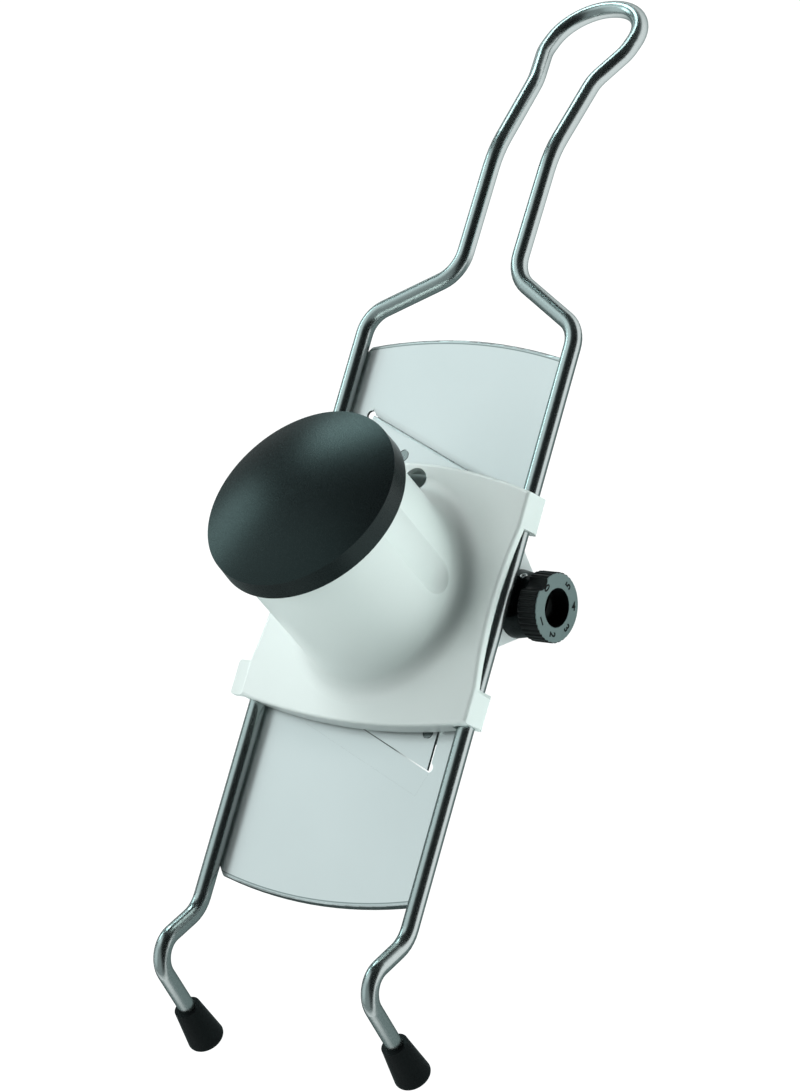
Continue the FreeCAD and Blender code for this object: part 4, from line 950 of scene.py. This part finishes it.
class SkyGraph:
    """A world's node tree, whose brightness is built up in steps."""

    def __init__(self, world: bpy.types.World) -> None:
        """Clear the world's nodes.

        Args:
            world: The world.
        """
        self.tree = world.node_tree
        self.tree.nodes.clear()
        self.view = self.tree.nodes.new("ShaderNodeTexCoord").outputs["Generated"]

    def _blend(self, share: NodeSocket, first: NodeSocket | float, second: float) -> NodeSocket:
        """Mix a level towards another.

        Args:
            share: Share of the second level.
            first: The first level.
            second: The second level.

        Returns:
            The mixed level.
        """
        node = self.tree.nodes.new("ShaderNodeMix")
        self.tree.links.new(share, node.inputs["Factor"])
        if isinstance(first, float):
            node.inputs["A"].default_value = first
        else:
            self.tree.links.new(first, node.inputs["A"])
        node.inputs["B"].default_value = second
        return node.outputs["Result"]

    def _share(self, towards: Sequence[float], start: float, end: float) -> NodeSocket:
        """A smooth step about a direction.

        Args:
            towards: The direction.
            start: Angle from it at which the step is 0, in degrees.
            end: Angle from it at which the step is 1, in degrees.

        Returns:
            The step.
        """
        turned = self.tree.nodes.new("ShaderNodeVectorMath")
        turned.operation = "DOT_PRODUCT"
        turned.inputs[1].default_value = towards
        self.tree.links.new(self.view, turned.inputs[0])
        node = self.tree.nodes.new("ShaderNodeMapRange")
        node.interpolation_type = "SMOOTHSTEP"
        node.inputs["From Min"].default_value = math.cos(math.radians(start))
        node.inputs["From Max"].default_value = math.cos(math.radians(end))
        self.tree.links.new(turned.outputs["Value"], node.inputs["Value"])
        return node.outputs[0]

    def lobe(self, lobe: Lobe, level: NodeSocket | float) -> NodeSocket:
        """Lay a lobe over the surroundings.

        Args:
            lobe: The lobe.
            level: The brightness so far.

        Returns:
            The brightness with the lobe.
        """
        share = self._share(direction(lobe.azimuth, lobe.elevation), lobe.outer, lobe.inner)
        return self._blend(share, level, lobe.level)

    def horizon(self, lobe: Lobe, level: NodeSocket | float) -> NodeSocket:
        """Dim everything under a height.

        Args:
            lobe: The heights, as the angles under the zenith, and the level.
            level: The brightness so far.

        Returns:
            The brightness with the dim horizon.
        """
        return self._blend(self._share((0, 0, 1), lobe.inner, lobe.outer), level, lobe.level)

    def finish(self, level: NodeSocket, tint: Tone) -> None:
        """Show the brightness, and plain white where the camera sees the surroundings.

        Args:
            level: The brightness.
            tint: The surroundings' colour.
        """
        nodes, links = self.tree.nodes, self.tree.links
        output = nodes.new("ShaderNodeOutputWorld")
        surround = nodes.new("ShaderNodeBackground")
        surround.inputs["Color"].default_value = (*tint, 1)
        links.new(level, surround.inputs["Strength"])
        white = nodes.new("ShaderNodeBackground")
        white.inputs["Color"].default_value = (1, 1, 1, 1)
        path = nodes.new("ShaderNodeLightPath")
        blend = nodes.new("ShaderNodeMixShader")
        links.new(path.outputs["Is Camera Ray"], blend.inputs["Fac"])
        links.new(surround.outputs[0], blend.inputs[1])
        links.new(white.outputs[0], blend.inputs[2])
        links.new(blend.outputs[0], output.inputs["Surface"])


@dataclass(frozen=True)
class Patch:
    """A soft-edged rectangle of the table.

    Attributes:
        across: Its range of X, in rail-frame millimetres.
        along: Its range of Y, in rail-frame millimetres.
        edge: Width of its soft edge, in millimetres.
    """

    across: tuple[float, float]
    along: tuple[float, float]
    edge: float


@dataclass(frozen=True)
class Studio:
    """Camera, floor, lamps and surroundings.

    Attributes:
        rails: Where the rail frame lies.
        camera_spot: The camera's place, in rail-frame millimetres.
        camera_right: The image's rightward direction.
        camera_down: The image's downward direction.
        lens: Focal length.
        sensor: Height of the camera's sensor.
        sight: The camera's farthest sight, in metres.
        aim: Where the lamps aim, in rail-frame millimetres.
        table: Radius of the round table, in metres.
        table_steps: Straight steps round its edge.
        table_tone: The table's own colour.
        shade_tone: Its colour where it lies in the tray's deep shade, a painted shadow.
        table_rough: Its roughness.
        pool: Distances at which the table's glow starts to fade and ends, in metres.
        glow: Strength of the table's glow near the slicer.
        glow_tint: Colour of that glow.
        seen_white: Share of plain white where the camera sees the table itself. The rest
            keeps the slicer's shadow.
        shade: Where the table lies in the tray's deep shade, where its shadow is painted and its
            glow and plain white are off.
        cards: Where the table is a painted dark reflection, seen only by mirroring surfaces,
            that stands in for the slicer's shadow near it.
        card_level: Brightness of that painted dark reflection.
        card_tint: Its colour.
        surround: Brightness of the surroundings where nothing else lies.
        surround_tint: Colour of the surroundings.
        soft_side: The bright side of the surroundings.
        soft_left: The bright part on the slicer's left.
        front: The surroundings in front of the slicer's feet.
        dark_side: The dark side of the surroundings.
        dim_horizon: The surroundings' low part, as angles under the zenith.
        lamps: The lamps.
    """

    rails: RailFrame
    camera_spot: tuple[float, float, float] = (1073.2, -404.1, 1281.9)
    camera_right: tuple[float, float, float] = (0.7742, 0.267, -0.5739)
    camera_down: tuple[float, float, float] = (0.0769, -0.9396, -0.3334)
    lens: float = 165.97
    sensor: float = 36.0
    sight: float = 20.0
    aim: tuple[float, float, float] = (0.0, -30.0, 10.0)
    table: float = 1.6
    table_steps: int = 96
    table_tone: Tone = (0.85, 0.87, 0.87)
    shade_tone: Tone = (0.2, 0.21, 0.21)
    table_rough: float = 0.9
    pool: tuple[float, float] = (0.3, 1.5)
    glow: float = 2.1
    glow_tint: Tone = (0.91, 1.0, 0.98)
    seen_white: float = 0.95
    shade: Patch = Patch((-30.0, -8.0), (-114.0, 16.0), 30.0)
    # Painted dark reflection beside the slicer, seen only by mirroring surfaces.
    cards: tuple[Patch, ...] = (Patch((-280.0, 68.0), (-330.0, 60.0), 18.0),
                                Patch((60.0, 170.0), (-330.0, -185.0), 18.0))
    card_level: float = 0.24
    card_tint: Tone = (0.8, 1.0, 0.99)
    surround: float = 0.03
    surround_tint: Tone = (0.86, 0.99, 0.99)
    soft_side: Lobe = Lobe(azimuth=171, elevation=57, inner=14, outer=36, level=0.92)
    soft_left: Lobe = Lobe(azimuth=-160, elevation=36, inner=10, outer=38, level=0.7)
    front: Lobe = Lobe(azimuth=-110, elevation=45, inner=30, outer=60, level=0.3)
    dark_side: Lobe = Lobe(azimuth=10, elevation=35, inner=28, outer=46, level=0.012)
    dim_horizon: Lobe = Lobe(azimuth=0, elevation=90, inner=82, outer=92, level=0.4)
    lamps: tuple[Lamp, ...] = (
        Lamp("left", azimuth=-150, elevation=55, distance=1.6, size=0.7, height=0.6, power=9.5),
        Lamp("back", azimuth=130, elevation=34, distance=1.6, size=0.8, height=0.6, power=14.5),
        Lamp("top", azimuth=120, elevation=80, distance=1.6, size=0.6, height=0.5, power=6.5),
        Lamp("strip_back", azimuth=125, elevation=17, distance=1.6, size=0.5, height=0.4,
             power=3.0, mirrored=True, colour=(0.74, 1.0, 1.0)),
        Lamp("strip_left", azimuth=157, elevation=23, distance=1.6, size=0.5, height=0.45,
             power=2.1, mirrored=True, colour=(0.74, 1.0, 1.0)),
    )

    def axes(self) -> tuple[Vector, Vector, Vector]:
        """The camera's own directions.

        Returns:
            The image's right, its up and the direction towards the viewer.
        """
        right = Vector(self.camera_right).normalized()
        up = -Vector(self.camera_down)
        up = (up - right * up.dot(right)).normalized()
        return right, up, right.cross(up)

    def add_camera(self) -> None:
        """Place the camera and make it the scene's."""
        data = bpy.data.cameras.new("camera")
        data.sensor_fit = "VERTICAL"
        data.sensor_height = self.sensor
        data.lens = self.lens
        data.clip_end = self.sight
        camera = bpy.data.objects.new("camera", data)
        bpy.context.scene.collection.objects.link(camera)
        turn = Matrix(self.axes()).transposed().to_4x4()
        camera.matrix_world = Matrix.Translation(self.rails.place(*self.camera_spot)) @ turn
        bpy.context.scene.camera = camera

    def add_lamp(self, lamp: Lamp) -> None:
        """Add a lamp aimed at the slicer.

        Args:
            lamp: The lamp.
        """
        target = self.rails.place(*self.aim)
        spot = target + direction(lamp.azimuth, lamp.elevation) * lamp.distance
        data = bpy.data.lights.new(lamp.name, "AREA")
        data.shape = "RECTANGLE"
        data.size = lamp.size
        data.size_y = lamp.height
        data.energy = lamp.power
        data.color = lamp.colour
        item = bpy.data.objects.new(lamp.name, data)
        item.visible_glossy = lamp.mirrored
        item.visible_diffuse = not lamp.mirrored
        item.visible_camera = False
        bpy.context.scene.collection.objects.link(item)
        item.matrix_world = (Matrix.Translation(spot)
                             @ (spot - target).to_track_quat("Z", "Y").to_matrix().to_4x4())

    def add_floor(self) -> None:
        """Lay the round white table that the slicer stands on."""
        mesh = bpy.data.meshes.new("floor")
        form = bmesh.new()
        bmesh.ops.create_circle(form, cap_ends=True, segments=self.table_steps,
                                radius=self.table)
        form.to_mesh(mesh)
        form.free()
        floor = bpy.data.objects.new("floor", mesh)
        bpy.context.scene.collection.objects.link(floor)
        graph = NodeGraph("floor_white")
        open_table = self._outside(graph, self.shade)
        near = graph.remap(graph.distance((0, 0, 0)), self.glow, 0.0, self.pool)
        graph.join(graph.times(near, open_table), graph.shader.inputs["Emission Strength"])
        # Painted shadow: under the tray the table's colour is painted dark.
        graph.join(graph.mix(open_table, self.shade_tone, self.table_tone),
                   graph.shader.inputs["Base Color"])
        graph.set(Emission_Color=(*self.glow_tint, 1), Roughness=self.table_rough)
        # Painted dark reflection: mirroring surfaces see the table dim near the slicer, standing
        # in for its shadow.
        with_painted_dark_reflection = graph.remap(self._outside(graph, *self.cards), 1.0, 0.0)
        self._white_to_camera(graph, open_table, with_painted_dark_reflection)
        mesh.materials.append(graph.material)

    def _outside(self, graph: NodeGraph, *patches: Patch) -> NodeSocket:
        """Share of the table that lies outside every patch.

        Args:
            graph: The table's material.
            patches: The patches.

        Returns:
            0 in a patch, 1 outside them.
        """
        outside = None
        for patch in patches:
            low = self.rails.place(patch.across[0], patch.along[0], 0)
            high = self.rails.place(patch.across[1], patch.along[1], 0)
            inside = graph.times(*(graph.band(graph.part(graph.coordinates, axis), low[axis],
                                              high[axis], patch.edge * MM) for axis in (0, 1)))
            share = graph.remap(inside, 1.0, 0.0)
            outside = graph.times(outside, share) if outside else share
        return outside

    def _white_to_camera(self, graph: NodeGraph, where: NodeSocket, cards: NodeSocket) -> None:
        """Make the table plain white where the camera sees it or a surface mirrors it.

        Args:
            graph: The table's material.
            where: Share of the table that this holds for. The rest keeps its shadows.
            cards: Share of the table that mirroring surfaces see as a painted dark reflection
                instead.
        """
        rays = graph.tree.nodes.new("ShaderNodeLightPath").outputs
        seen = graph.tree.nodes.new("ShaderNodeMath")
        seen.operation = "MULTIPLY_ADD"
        graph.join(rays["Is Camera Ray"], seen.inputs[0])
        seen.inputs[1].default_value = self.seen_white
        graph.join(rays["Is Glossy Ray"], seen.inputs[2])
        plain = graph.mix_shaders(graph.times(seen.outputs[0], where), graph.shader.outputs[0],
                                  graph.emission((1.0, 1.0, 1.0), 1.0))
        # Painted dark reflection: a dim glow that only mirroring surfaces see.
        with_painted_dark_reflection = graph.mix_shaders(graph.times(rays["Is Glossy Ray"], cards), plain,
                                   graph.emission(self.card_tint, self.card_level))
        graph.join(with_painted_dark_reflection, graph.output.inputs["Surface"])

    def add_world(self) -> None:
        """Surround the slicer with a bright side, a dark side and a dim horizon."""
        world = bpy.data.worlds.new("studio")
        bpy.context.scene.world = world
        world.use_nodes = True
        sky = SkyGraph(world)
        level = sky.lobe(self.soft_side, self.surround)
        level = sky.lobe(self.front, level)
        level = sky.lobe(self.soft_left, level)
        level = sky.horizon(self.dim_horizon, level)
        level = sky.lobe(self.dark_side, level)
        sky.finish(level, self.surround_tint)

    def build(self) -> None:
        """Set up the whole studio."""
        self.add_camera()
        self.add_floor()
        for lamp in self.lamps:
            self.add_lamp(lamp)
        self.add_world()
        bpy.context.scene.view_settings.view_transform = "Standard"


def main() -> None:
    """Build the studio and dress the slicer."""
    logging.basicConfig(level=logging.INFO, format="%(name)s: %(message)s")
    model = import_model()
    rails = RailFrame.from_model(model)
    palette = Palette()
    Studio(rails).build()
    dress_cad_nodes(model["nodes"], rails, palette)
    Dial(rails, palette).build(model["nodes"])


if __name__ == "__main__":
    main()
